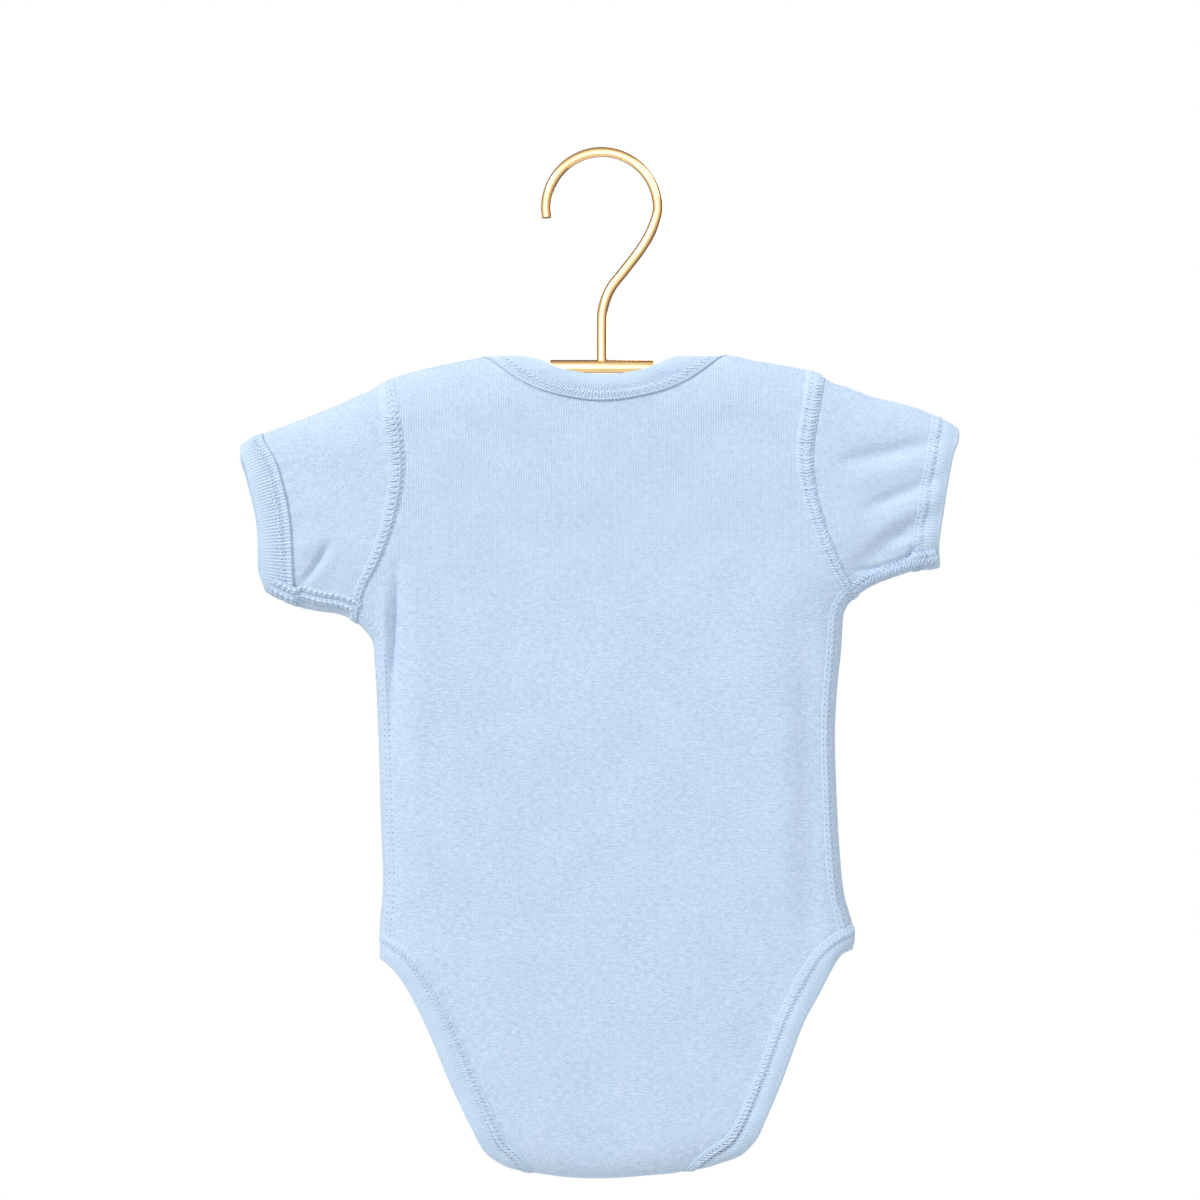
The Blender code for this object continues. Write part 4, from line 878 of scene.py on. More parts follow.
def between_rings(rings, size, closed_run=False):
    """Faces that join rings of points one after another, and close the two ends."""
    faces = []
    for ring in range(rings if closed_run else rings - 1):
        here, there = ring * size, (ring + 1) % rings * size
        for i in range(size):
            j = (i + 1) % size
            faces.append((here + i, here + j, there + j, there + i))
    if not closed_run:
        faces.append(tuple(range(size)))
        faces.append(tuple(reversed(range((rings - 1) * size, rings * size))))
    return faces


# %% [markdown]
# ## Sleeves
# A sleeve is a tube, flattened by its own weight. It is swept from the armhole to the cuff:
# at each step a line runs across it from the top fold to the lower one, and the two faces are
# the plan to either side. The wales of the sleeve run along it, so its plan counts round the
# tube first and along it second.

# %% Sleeve lines
def past_crest(inward, reach):
    """The cloth between a fold's crest and a place that shows this far inside the fold."""
    slack = HALF_DEPTH ** 2 / reach
    return sqrt((inward + slack) ** 2 - slack ** 2)


SEAM_PAST = past_crest(SEAM_WRAP, SIDE_ROUND)
TAB_PAST = past_crest(TAB_CLEAR, CROTCH_ROUND)
LINE_POINTS, FINE_POINTS = 80, 240      # across a sleeve: its bow, and its plan lines
SKEW_RISE = 0.12        # how much a cuff's front layer rises for each millimetre it shows


class Sleeve:
    """Lines across a sleeve, from its top fold to its lower fold."""

    def __init__(self, side):
        self.side = side
        self.top, self.low = TOP[side], SIDE[side]
        self.armhole, self.cuff = smooth(ARMHOLE[side]), smooth(CUFF[side])
        self.band = CUFF_BAND[side].width
        self.ends = [(self.top.where(line[0]), self.low.where(line[-1]))
                     for line in (self.armhole, self.cuff)]
        self.length = np.mean([abs(last - first) for first, last in zip(*self.ends)])
        self.length -= SEAM_GAP + self.band

    def line(self, share, back_off=0.0):
        """A line at a share of the way to the binding, or a distance back from the cuff."""
        ends = []
        for fold, first, last in zip((self.top, self.low), *self.ends):
            way = copysign(1.0, last - first)
            start, stop = first + way * SEAM_GAP, last - way * self.band
            here = last - way * back_off if share is None else start + (stop - start) * share
            ends.append(at(fold.line, np.array([here]))[0])
        t = np.linspace(0, 1, LINE_POINTS)[:, None]
        bow = []
        for model in (self.armhole, self.cuff):
            marks = even(model, LINE_POINTS - 1)
            bow.append(marks - (marks[0] * (1 - t) + marks[-1] * t))
        blend = 1.0 if share is None else share
        return ends[0] * (1 - t) + ends[1] * t + bow[0] * (1 - blend) + bow[1] * blend

    def plan(self, places):
        """The flat cut of places that are seen on the folded sleeve."""
        return self.top.flatten(self.low.flatten(places))

    def faces(self, share, back_off=0.0):
        """The plan lines of the back and the front, both from the top fold to the lower."""
        line = self.line(share, back_off)
        places = even(line, FINE_POINTS)
        blend = 1.0 if share is None else np.clip(share, 0, 1)
        out = np.array((OUTWARD[self.side], SKEW_RISE))
        from_fold = np.minimum(arcs(places), length(places) - arcs(places))
        fade = np.clip(from_fold / SKEW_FADE, 0, 1)
        fade = fade * fade * (3 - 2 * fade)
        front = places + out * (CUFF_SKEW[self.side] * blend * fade)[:, None]
        return self.plan(places), self.plan(front)

    def rings(self, stations, count):
        """Plan grids of both faces: one row for each (share, back off), evenly divided."""
        t = np.linspace(0, 1, count + 1)
        back, front = [], []
        for share, back_off in stations:
            on_back, on_front = self.faces(share, back_off)
            lean = CUFF_LEAN[self.side] * back_off / length(on_back)
            leaning = t - lean * np.sin(pi * t)
            back.append(at(on_back, leaning * length(on_back)))
            front.append(at(on_front, leaning * length(on_front))[-2:0:-1])
        return np.array(back), np.array(front)


SLEEVES = {side: Sleeve(side) for side in SIDES}
print("sleeve lengths in mm:", {side: round(s.length, 1) for side, s in SLEEVES.items()})


# %% Sleeve cloth
def make_sleeve(sleeve):
    """One sleeve as an open tube with two skins, from the armhole into its binding."""
    steps = round(sleeve.length / SLEEVE_STEP)
    stations = [(share, 0.0) for share in np.linspace(0, 1, steps + 1)]
    stations += [(None, sleeve.band / 2), (None, 0.0)]
    count = round(length(sleeve.line(0.0)) / SLEEVE_WEB)
    back, front = sleeve.rings(stations, count)
    skins = {0.0: [], -CLOTH: []}
    for row in range(len(stations)):
        surfaces = [lie(back[row], BACK), lie(front[row], FRONT)]
        for level in skins:
            skins[level].append(np.vstack([place + normal * level for place, normal in surfaces]))
    rings = skins[0.0] + skins[-CLOTH][::-1]
    size = len(rings[0])
    round_it = arcs(rings[0])
    down_it = np.array([sleeve.length * share if share is not None else
                        sleeve.length + sleeve.band - back_off for share, back_off in stations])
    down_it = np.concatenate((down_it, down_it[::-1]))
    plan = np.stack((np.tile(round_it, len(rings)), np.repeat(down_it, size)), -1)
    piece = add_piece(f"sleeve_{sleeve.side}_cloth", np.vstack(rings),
                      between_rings(len(rings), size, closed_run=True), jersey, plan)
    cut = (round_it[-1], sleeve.length + sleeve.band)
    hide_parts(f"sleeve_{sleeve.side}")
    return piece, cut


sleeve_cloths = {side: make_sleeve(sleeve) for side, sleeve in SLEEVES.items()}

# %% [markdown]
# ## Strips along bound edges
# A binding covers a raw edge, so it is laid out from that edge: rows of the plan at growing
# distances from the cut, each divided into stations, four for each rib. The same strips give
# the panels their edges.

# %% Strips
BAND_STEP = 1.7         # spacing of a binding's rows outside its needle rows
DENT = 0.8              # half the width that a needle row presses in


def band_offsets(band):
    """Distances from the cut edge where a binding has its rows of points."""
    near, far = band.needles
    inner = band.width - far - DENT
    plain = np.linspace(0, inner, max(3, round(inner / BAND_STEP)) + 1)
    insets = [far, far - DENT, (near + far) / 2, near + DENT, near]
    insets += [near - 0.9] * (near > 2) + [0.4, 0.0]
    return np.concatenate((plain, band.width - np.array(insets)))


def side_rows(path, sign, offsets):
    """Rows at given distances to the left of a path, or to its right if the sign is -1."""
    normal = sideways(path) * sign
    return [path + normal * offset for offset in offsets]


def trimmed(row, start, end):
    """The stretch of a row between two distances."""
    return even(row, max(2, round((end - start) / PLAN_STEP)), start, end)


def grid_between(rows, stops, spacing):
    """Stations over the rows of a strip: each row's stops, and even steps between them."""
    marks = np.array([[0, *places, length(row)] for row, places in zip(rows, stops)])
    counts = np.maximum(1, np.round(np.diff(marks, axis=1).mean(0) / spacing)).astype(int)
    grid = []
    for row, ends in zip(rows, marks):
        steps = [np.linspace(first, last, count, endpoint=False)
                 for first, last, count in zip(ends, ends[1:], counts)]
        grid.append(at(row, np.concatenate(steps + [ends[-1:]])))
    return np.array(grid)


# The stretches of cloth past a crest where every row of a strip has a station.
CREST_STOPS, SIDE_STOPS = (-13.0, -5.0, 0.0, 5.0, 13.0), (4.6, 0.0, -4.6, -13.0, -21.0)
print("rows of a neck binding:", len(band_offsets(NECK_BAND["back"])))


# %% Where the strips stop
def fold_stops(row, fold, pasts=CREST_STOPS, backwards=False):
    """Distances along a row where it lies given stretches of cloth past a fold's crest."""
    line = row[::-1] if backwards else row
    cloth = fold.past(line)
    stops = [crossing(line, cloth, past) for past in pasts]
    return [length(row) - stop for stop in stops[::-1]] if backwards else stops


def armhole_line(sleeve, face):
    """The armhole's edge in one face's plan, carried on past the shoulder for the laps."""
    edge = sleeve.plan(even(sleeve.armhole, 90))
    if face == FRONT:
        return edge
    beyond = sleeve.top.other_plan(edge[:60])
    return np.vstack((beyond[:0:-1], edge))


def cross_side(line, points):
    """Signed distance of points from a line."""
    near, _, gap = nearest(line, points)
    run = np.diff(line, axis=0)[near]
    return np.sign(run[:, 0] * gap[:, 1] - run[:, 1] * gap[:, 0]) * sizes(gap)


# %% The strips under the bindings
def neck_grid(cut, face):
    """The strip under a neck binding, which ends on both armholes."""
    path = smooth(cut)
    rows = []
    for row in side_rows(path, -1, band_offsets(NECK_BAND["back"])):
        ends = []
        third = len(row) // 3
        for side, part in (("left", slice(0, third)), ("right", slice(-third, None))):
            gap = cross_side(armhole_line(SLEEVES[side], face), row[part])
            turn = np.nonzero(np.sign(gap[:-1]) != np.sign(gap[1:]))[0]
            turn = turn[-1] if side == "left" else turn[0]
            share = gap[turn] / (gap[turn] - gap[turn + 1])
            offset = 0 if side == "left" else len(row) - third
            along = arcs(row)
            ends.append(along[offset + turn] * (1 - share) + along[offset + turn + 1] * share)
        rows.append(trimmed(row, *ends))
    stops = [()] * len(rows)
    if face == BACK:
        stops = [fold_stops(row, TOP["left"]) + fold_stops(row, TOP["right"], backwards=True)
                 for row in rows]
    return grid_between(rows, stops, RIB_PITCH / STATIONS)


def leg_grids(side):
    """The strips under a leg binding: on the back panel, and on the front panel's plan."""
    path = smooth(LEG[side])
    path = path + sideways(path) * OUTWARD[side] * LEG_PULL
    back_rows, front_rows = [], []
    for row in side_rows(path, OUTWARD[side], band_offsets(LEG_BAND[side])):
        past = SIDE[side].past(row)
        split_back = crossing(row, past, SEAM_PAST + SEAM_GAP / 2)
        split_front = crossing(row, past, SEAM_PAST - SEAM_GAP / 2)
        above_crotch = CROTCH.past(SIDE[side].carry(row)[0])
        tab_end = crossing(row[::-1], above_crotch[::-1], TAB_PAST)
        back_rows.append(trimmed(row, 0, split_back))
        front_rows.append(trimmed(row, split_front, length(row) - tab_end))
    back = grid_between(back_rows, [fold_stops(row, CROTCH) for row in back_rows],
                        RIB_PITCH / STATIONS)
    front = grid_between(front_rows, [fold_stops(row, SIDE[side], SIDE_STOPS)
                                      for row in front_rows], RIB_PITCH / STATIONS)
    front = SIDE[side].other_plan(front.reshape(-1, 2)).reshape(front.shape)
    return back, front


NECK = {BACK: neck_grid(BACK_NECK, BACK), FRONT: neck_grid(FRONT_NECK, FRONT)}
LEGS = {side: leg_grids(side) for side in SIDES}
print("neck stations:", NECK[BACK].shape[1], "leg stations:",
      [grid.shape[1] for grids in LEGS.values() for grid in grids])

# %% [markdown]
# ## The two body panels
# Each panel's outline goes once round its plan: neck, armhole, side seam, leg, crotch. The
# inside is filled with a web of even triangles, closer along the crests where the cloth turns
# tightly. Then the web is folded up, and copied inwards by the cloth's thickness.

# %% Filling a plan
AT_ONCE = 4000          # points that are tested together, to spare memory


def inside(outline, points):
    """Tells which points lie inside a closed outline."""
    x0, z0 = outline[:, 0], outline[:, 1]
    x1, z1 = np.roll(x0, -1), np.roll(z0, -1)
    rise = np.where(z1 == z0, 1e-9, z1 - z0)
    answers = []
    for part in np.array_split(points, max(1, len(points) // AT_ONCE)):
        x, z = part[:, 0:1], part[:, 1:2]
        spans = (z0 > z) != (z1 > z)
        answers.append((spans & (x < (x1 - x0) * (z - z0) / rise + x0)).sum(1) % 2 == 1)
    return np.concatenate(answers)


def honeycomb(outline, spacing):
    """Points in offset rows over an outline's box, all equally far apart."""
    low, high = outline.min(0), outline.max(0)
    rows = []
    for index, z in enumerate(np.arange(low[1], high[1], spacing * sqrt(3) / 2)):
        x = np.arange(low[0] + (index % 2) * spacing / 2, high[0], spacing)
        rows.append(np.stack((x, np.full(len(x), z)), -1))
    return np.vstack(rows)


def thinned(groups, cell):
    """Keeps points in order, and leaves out each that lies too near one already kept."""
    cells, kept = {}, []
    for points, gap in groups:
        for x, z in points.tolist():
            column, row = int(x // cell), int(z // cell)
            near = (spot for i in (-1, 0, 1) for j in (-1, 0, 1)
                    for spot in cells.get((column + i, row + j), ()))
            if gap and any((x - a) ** 2 + (z - b) ** 2 < gap * gap for a, b in near):
                continue
            cells.setdefault((column, row), []).append((x, z))
            kept.append((x, z))
    return np.array(kept)


SHARP_CREASE = 2.5      # creases narrower than this need closer points than the web's


def crease_rows(face):
    """Close rows of points along the creases that are too sharp for the web."""
    rows = [np.zeros((0, 2))]
    for crease in CREASES:
        if crease.face == face and crease.width < SHARP_CREASE:
            ends = np.array(((crease.x0, crease.z0), (crease.x1, crease.z1)), float)
            line = even(ends, round(length(ends) / (1.8 * CREASE_WEB)))
            rows += [line + sideways(line) * CREASE_WEB * step for step in range(-4, 5)]
    return rows


def fill(outline, rows, sharp):
    """Fills an outline of the plan with even triangles."""
    rows, sharp = np.vstack(rows), np.vstack(sharp)
    web = honeycomb(outline, WEB)
    groups = ((outline, 0.0), (sharp[inside(outline, sharp)], 0.8 * CREASE_WEB),
              (rows[inside(outline, rows)], 0.55 * WEB), (web[inside(outline, web)], 0.72 * WEB))
    points = thinned(groups, WEB)
    edges = [(i, (i + 1) % len(outline)) for i in range(len(outline))]
    found, _, faces, _, _, _ = delaunay_2d_cdt(
        [Vector(point) for point in points.tolist()], edges, [], 1, 1e-4, False)
    found = np.array([tuple(point) for point in found])
    faces = np.array(faces)
    return found, faces[inside(outline, found[faces].mean(1))]


# %% Making a panel
def make_panel(name, face, outline, rows, node):
    """One panel: its filled plan, folded up, with two skins and a rim between them."""
    plan, faces = fill(outline, rows, crease_rows(face))
    used = np.unique(faces)
    renumber = np.full(len(plan), -1)
    renumber[used] = np.arange(len(used))
    plan, faces = plan[used], renumber[faces]
    place, normal = lie(plan, face)
    level = level_under(plan, face)[:, None]
    top, under = place + normal * level, place + normal * (level - CLOTH)
    count = len(plan)
    every = faces.tolist() + (faces[:, ::-1] + count).tolist()
    sides = {(a, b) for f in faces.tolist() for a, b in zip(f, f[1:] + f[:1])}
    every += [(b, a, a + count, b + count) for a, b in sides if (b, a) not in sides]
    piece = add_piece(name, np.vstack((top, under)), every, jersey, np.vstack((plan, plan)))
    corners = plan[faces]
    ab, ac = corners[:, 1] - corners[:, 0], corners[:, 2] - corners[:, 0]
    area = np.abs(ab[:, 0] * ac[:, 1] - ab[:, 1] * ac[:, 0]).sum() / 2
    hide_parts(node)
    return piece, plan.max(0) - plan.min(0), area


def armhole_edge(sleeve, first, last):
    """The armhole's edge between given stretches of cloth past its two folds."""
    edge = sleeve.plan(even(sleeve.armhole, FINE_POINTS))
    start = crossing(edge, sleeve.top.past(edge), first) if first > 0 else 0.0
    end = crossing(edge, sleeve.low.past(edge), last) if last > 0 else length(edge)
    return even(edge, (end - start) / EDGE_WEB, start, end)


# Closer rows of points on both sides of each crest, where the cloth turns tightly.
CREST_ROWS = (0.0, 0.9, -0.9, 1.8, -1.8, 2.8, -2.8, 4.0, -4.0, 5.4, -5.4, 7.0, -7.0)
EDGE_SKIP = 5           # the panels need only every fifth station of a binding


# %% The back panel
def back_outline():
    """Neck, then down the left side, across the flap's end and up the right side."""
    sides = {}
    for side, sleeve in SLEEVES.items():
        ends = NECK[BACK][:, END[side]]
        line = armhole_line(sleeve, BACK)
        past = sleeve.top.past(line)
        order = np.argsort(past)
        lap_past = np.arange(sleeve.top.past(ends[-1:])[0] + EDGE_WEB, -0.5, EDGE_WEB)
        lap = at(line, np.interp(lap_past, past[order], arcs(line)[order]))
        seam = SEAM_PAST + SEAM_GAP / 2
        armhole = armhole_edge(sleeve, 0.0, seam)
        leg = LEGS[side][0]
        seam_line = SIDE[side].row(seam, sleeve.armhole[-1], leg[-1, -1], EDGE_WEB)
        sides[side] = np.vstack((ends[1:], lap, armhole, seam_line[1:-1], leg[:, -1][::-1],
                                 leg[0][::-1][EDGE_SKIP::EDGE_SKIP]))
    flap = [LEGS[side][0][:, 0] for side in SIDES]
    across = even(np.array((flap[0][-1], flap[1][-1])), 50)[1:-1]
    neck = NECK[BACK][0][::-1][::EDGE_SKIP]
    return np.vstack((neck, sides["left"], flap[0][1:], across, flap[1][1:][::-1],
                      sides["right"][::-1]))


rows = [CROTCH.row(past, (-52, -470), (56, -470), WEB) for past in CREST_ROWS]
for side, sleeve in SLEEVES.items():
    by_neck = (34.0 * OUTWARD[side], -90.0)
    rows += [sleeve.top.row(past, sleeve.armhole[0], by_neck, WEB) for past in CREST_ROWS]
back_body, back_flat, back_area = make_panel("back_body", BACK, back_outline(), rows, "back_panel")
print("back cut, mm:", back_flat.round(), "area in m2:", round(back_area * MM * MM, 4))


# %% The front panel
def front_outline():
    """Neck, then down the left side, across the tab's end and up the right side."""
    sides = {}
    for side, sleeve in SLEEVES.items():
        fold = SIDE[side]
        ends = NECK[FRONT][:, END[side]]
        start = sleeve.top.past(ends[-1:])[0] + EDGE_WEB
        edge = armhole_edge(sleeve, start, 0.0)
        wrap = fold.other_plan(armhole_edge(sleeve, start, SEAM_PAST - SEAM_GAP / 2)[::-1])
        wrap_past = fold.past(wrap)
        wrap = wrap[(wrap_past < -0.8) & (wrap_past > -SEAM_PAST - 0.2)][::-1]
        leg = LEGS[side][1]
        seam_line = fold.row(-SEAM_PAST + SEAM_GAP / 2, sleeve.armhole[-1],
                             LEGS[side][0][-1, -1], EDGE_WEB)
        sides[side] = np.vstack((ends[1:], edge, wrap, seam_line[1:-1], leg[:, 0][::-1],
                                 leg[0][EDGE_SKIP::EDGE_SKIP]))
    tab = [LEGS[side][1][1:, -1] for side in SIDES]
    across = CROTCH.row(TAB_PAST, tab[0][-1], tab[1][-1], EDGE_WEB)[1:-1]
    neck = NECK[FRONT][0][::-1][::EDGE_SKIP]
    return np.vstack((neck, sides["left"], tab[0], across, tab[1][::-1], sides["right"][::-1]))


rows = []
for side, sleeve in SLEEVES.items():
    rows += [SIDE[side].row(past, sleeve.armhole[-1], LEGS[side][1][-1, 0], WEB)
             for past in CREST_ROWS]
front_body, front_flat, front_area = make_panel("front_body", FRONT, front_outline(), rows,
                                                "front_panel")
print("front cut, mm:", front_flat.round(), "area in m2:", round(front_area * MM * MM, 4))

# %% [markdown]
# ## Rib bindings
# A binding is a strip of rib folded in half over the raw edge and sewn through with two
# needles. Its section is one closed ring: along the outside from the inner edge to the fold,
# round the fold, and back along the inside. The outer points are raised and sunk to make the
# ribs, pressed in under the needle rows, and left fuller next to the fold, as rib is when it
# is stretched round an edge.

# %% Binding sections
OUTER, INNER = SEAM_GAP + RIB, -(CLOTH + SEAM_GAP + RIB)
RIB_RELIEF = 0.4
EASED = 0.72            # share of the ribs that stretching round the fold takes away
ROUNDED = 0.6           # how far the face slopes down towards the fold
HEM = 0.45              # width of the slope under a binding's inner edge
FOLD_BULGE = 1.25       # how far the fold stands past where the legs start to turn
FOLD_POINTS = 7
HEM_LIFT = 0.06         # how far off the cloth the inner edge ends
TURN_RADIUS = 1.4       # of the strip's middle, round the fold
CREST_THIN = 0.7        # share of a binding's height that is pulled away on a fold's crest
PRESSED = (0.3, 0.65)   # how deep a needle row presses the rib, and how wide


def face_level(inset, band):
    """The height of a binding's face over its strip, by the distance from its inner edge."""
    deep, wide = PRESSED
    pressed = sum(deep * np.exp(-((inset - needle) / wide) ** 2) for needle in band.needles)
    free = free_share(inset, band)
    thin = (1 - band.edge) * np.exp(-(max(inset, 0) / 1.3) ** 2)
    full = 0.3 * np.sin(pi * free) ** 0.8 - ROUNDED * free ** 3
    return (OUTER - pressed) * (1 - thin) + full


def crest_share(normals):
    """How near each place is to a fold's crest, where sewn layers are pulled thin."""
    return (normals[:, 0] ** 2 + normals[:, 2] ** 2) ** 2


def free_share(inset, band):
    """Where a place lies between the outer needle row, 0, and the fold, 1."""
    start = band.needles[1] + 0.4
    return np.clip((inset - start) / (band.width - start), 0, 1)


def pulled_thin(level, normals):
    """A height over the cloth, less where the turn of a fold pulls the layers thin."""
    return level * (1 - CREST_THIN * crest_share(normals))


# %% A patch to sew on
class Patch:
    """A grid of points over a piece, on which sewing is laid out in real lengths."""

    def __init__(self, points, normals, across, closed):
        if closed:
            points, normals = (np.concatenate((grid, grid[:, :1]), axis=1)
                               for grid in (points, normals))
        self.points, self.normals, self.across = points, normals, across
        self.along = arcs(points[len(points) // 2])
        self.length = self.along[-1]

    def place(self, along, across, lift):
        """Points at given lengths along and across the patch, lifted off it."""
        spots = []
        for wanted, known in ((along, self.along), (across, self.across)):
            spot = np.interp(wanted, known, np.arange(len(known)))
            spots.append(np.clip(spot, 0, len(known) - 1.001))
        i, j = (spot.astype(int) for spot in spots)
        s, t = (spots[0] - i)[:, None], (spots[1] - j)[:, None]

        def mix(grid):
            return ((grid[j, i] * (1 - s) + grid[j, i + 1] * s) * (1 - t)
                    + (grid[j + 1, i] * (1 - s) + grid[j + 1, i + 1] * s) * t)

        return mix(self.points) + mix(self.normals) * np.asarray(lift)[:, None]


def add_strip(name, ring, finish, patch, numbers, stitch, closed):
    """A piece from rings along a patch: its plan, and how far its needle holes are."""
    across, row_gap, third = numbers
    count, size = ring.shape[:2]
    along = np.repeat(patch.along[:count], size)
    plan = np.stack((along, np.tile(across, count), third.ravel()), -1)
    sewn = np.stack((along / stitch, np.tile(row_gap, count), np.full(len(plan), stitch)), -1)
    return add_piece(name, ring.reshape(-1, 3), between_rings(count, size, closed), finish,
                     plan, sewn)


# %% One stretch of a binding
def stretch(grid, face, sinks, band, passed):
    """A binding over one strip: its rings, how raised they are, and the face to sew on."""
    offsets = band_offsets(band)
    last, stations = len(offsets) - 1, grid.shape[1]
    phase = (np.arange(stations) + passed) % STATIONS / STATIONS
    ribs = -0.5 * np.cos(TURN * phase)
    ways = {0: unit(grid[0] - grid[1]), last: unit(grid[-1] - grid[-2])}
    laid = [lie(row, face) for row in grid]
    sink = [level_under(row, face) if sinks else np.zeros(stations) for row in grid]
    ring, raised, top = [], [], []

    def corner(row, level, share=0.0, beyond=None):
        """Adds a corner to every station's ring, with a share of the ribs' relief."""
        place, normal = (laid[row] if beyond is None
                         else lie(grid[row] + ways[row] * beyond, face))
        level = np.where(level > 0, pulled_thin(level, normal), level)
        ring.append(place + normal * (sink[row] + level)[:, None])
        # how high on its rib the point lies; the rib finish makes the grooves darker with it, as
        # painted shade
        raised.append(0.5 + ribs * share)

    corner(last, HEM_LIFT, 0.0, HEM)
    for row in range(last, -1, -1):
        inset = band.width - offsets[row]
        share = (1 - EASED * free_share(inset, band) ** 2) * (0.75 if row > last - 2 else 1.0)
        share *= band.ribs
        level = face_level(inset, band)
        corner(row, level + RIB_RELIEF * share * ribs, share)
        place, normal = laid[row]
        top.append(place + normal * (sink[row] + pulled_thin(level, normal))[:, None])
    crest = face_level(band.width, band)
    middle, half = (crest + INNER) / 2, (crest - INNER) / 2
    grown = RIB_RELIEF * (1 - EASED) * ribs
    for angle in np.radians(np.linspace(80, -80, FOLD_POINTS)):
        beyond = 0.3 + (FOLD_BULGE + grown) * cos(angle)
        corner(0, middle + (half + grown) * sin(angle), 1 - EASED, beyond[:, None])
    coarse = (0, last // 2, last)
    for row in coarse:
        corner(row, INNER - grown, 1 - EASED)
    for row in coarse[::-1]:
        corner(row, -CLOTH - SEAM_GAP)
    corner(0, -CLOTH - 0.7, 0.0, EDGE_GAP)
    corner(0, 0.35, 0.0, EDGE_GAP)
    for row in coarse:
        corner(row, SEAM_GAP)
    return ring, raised, top, [normal for _, normal in laid[::-1]]


# %% A whole binding
Bound = namedtuple("Bound", "piece patch cut band")


def make_binding(name, strips, band, node, closed=False):
    """One binding from its strips (grid, face, whether it sinks), and a patch for its sewing."""
    parts, passed = [], 0
    for grid, face, sinks in strips:
        parts.append(stretch(grid, face, sinks, band, passed))
        passed += grid.shape[1]
    ring, raised, top, normals = (np.concatenate(part, axis=1) for part in zip(*parts))
    ring = ring.transpose(1, 0, 2)
    patch = Patch(top, normals, band.width - band_offsets(band)[::-1], closed)
    inset = np.full(ring.shape[1], band.width)
    # the hem's corner gets a negative inset, which the rib finish paints as the shadow under the
    # inner edge
    inset[0] = -HEM * band.gap
    inset[1:len(top) + 1] = patch.across
    row_gap = np.minimum(*(np.abs(inset - needle) for needle in band.needles)) + band.closed
    piece = add_strip(name, ring, rib, patch, (inset, row_gap, raised.T), band.stitch, closed)
    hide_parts(node)
    return Bound(piece, patch, (2 * band.width + pi * TURN_RADIUS, patch.length), band)


# %% All the bindings
BANDS = {}
for name, face in (("back", BACK), ("front", FRONT)):
    BANDS[f"{name}_neck"] = make_binding(f"{name}_neck_rib", [(NECK[face], face, True)],
                                         NECK_BAND[name], f"{name}_neck_binding")
for side, (back, front) in LEGS.items():
    BANDS[f"leg_{side}"] = make_binding(
        f"leg_{side}_rib", [(back, BACK, True), (front, FRONT, True)], LEG_BAND[side],
        f"leg_binding_{side}")
for side, sleeve in SLEEVES.items():
    stations = [(None, offset) for offset in band_offsets(CUFF_BAND[side])]
    count = round(length(sleeve.line(None)) / RIB_PITCH) * STATIONS
    back, front = sleeve.rings(stations, count)
    BANDS[f"cuff_{side}"] = make_binding(
        f"cuff_{side}_rib", [(back, BACK, False), (front, FRONT, False)], CUFF_BAND[side],
        f"cuff_binding_{side}", closed=True)
print("binding lengths in mm:", {name: round(bound.cut[1]) for name, bound in BANDS.items()})

# %% [markdown]
# ## Sewing
# Two kinds of machine stitch hold it together. A coverstitch fixes each binding: two needle
# rows of short dashes, with fine looper threads crossing between them. A flatlock joins the
# body to the sleeves and sides: a flat raised band as wide as the overlapped edges, covered
# in crossing threads. Each thread is a thin four-sided tube along a path on the piece's
# patch, and all the threads of one seam are joined into one mesh.

# %% Thread tubes
TUBE_SIDES = 4


def thread_tubes(name, paths, radii):
    """Joins many thread paths into one mesh of thin tubes."""
    points, faces, plan = [], [], []
    base = 0
    turn = TURN * (np.arange(TUBE_SIDES) + 0.5) / TUBE_SIDES
    for path, radius in zip(paths, radii):
        run = np.gradient(path, axis=0)
        run /= np.maximum(sizes(run), 1e-9)[:, None]
        side = np.cross(run, (0.0, 1.0, 0.0))
        weak = sizes(side) < 0.2
        side[weak] = np.cross(run[weak], (1.0, 0.0, 0.0))
        side = unit(side)
        up = np.cross(side, run)
        rings = (path[:, None] + radius * (side[:, None] * np.cos(turn)[None, :, None]
                                           + up[:, None] * np.sin(turn)[None, :, None]))
        points.append(rings.reshape(-1, 3))
        plan.append(np.stack((np.repeat(arcs(path), TUBE_SIDES), np.tile(turn, len(path))), -1))
        faces += [tuple(corner + base for corner in face)
                  for face in between_rings(len(path), TUBE_SIDES)]
        base += len(path) * TUBE_SIDES
    return add_piece(name, np.vstack(points), faces, thread, np.vstack(plan))


# %% Dashes, loopers and strokes
DASH = ((-0.34, -0.2), (-0.2, 0.08), (0.0, 0.16), (0.2, 0.08), (0.34, -0.2))    # share, lift
STROKE = ((0.0, -0.2), (0.2, 0.16), (0.5, 0.26), (0.8, 0.16), (1.0, -0.2))      # share, lift
LOOPER_LEAN = 0.5       # how far a looper slants between its rows, as a share of its pitch


def needle_row(patch, across, pitch):
    """A row of short dashes that dive into the cloth at each end, between the pits."""
    paths = []
    for index in range(1, int(patch.length / pitch)):
        along = (index + np.array([share for share, _ in DASH])) * pitch
        paths.append(patch.place(along, np.full(len(DASH), across),
                                 [lift for _, lift in DASH]))
    return paths


def looper(patch, low, high, pitch, start, lift):
    """One long thread that crosses from row to row."""
    turns = int((patch.length - start) / pitch)
    share = np.arange(turns * 4 + 1) / 4
    swing = 0.5 - 0.5 * np.cos(TURN * share)
    arch = np.abs(np.sin(TURN * share))
    along = start + (share + LOOPER_LEAN * (swing - 0.5)) * pitch
    return patch.place(along, low + (high - low) * swing, lift * arch + 0.02)


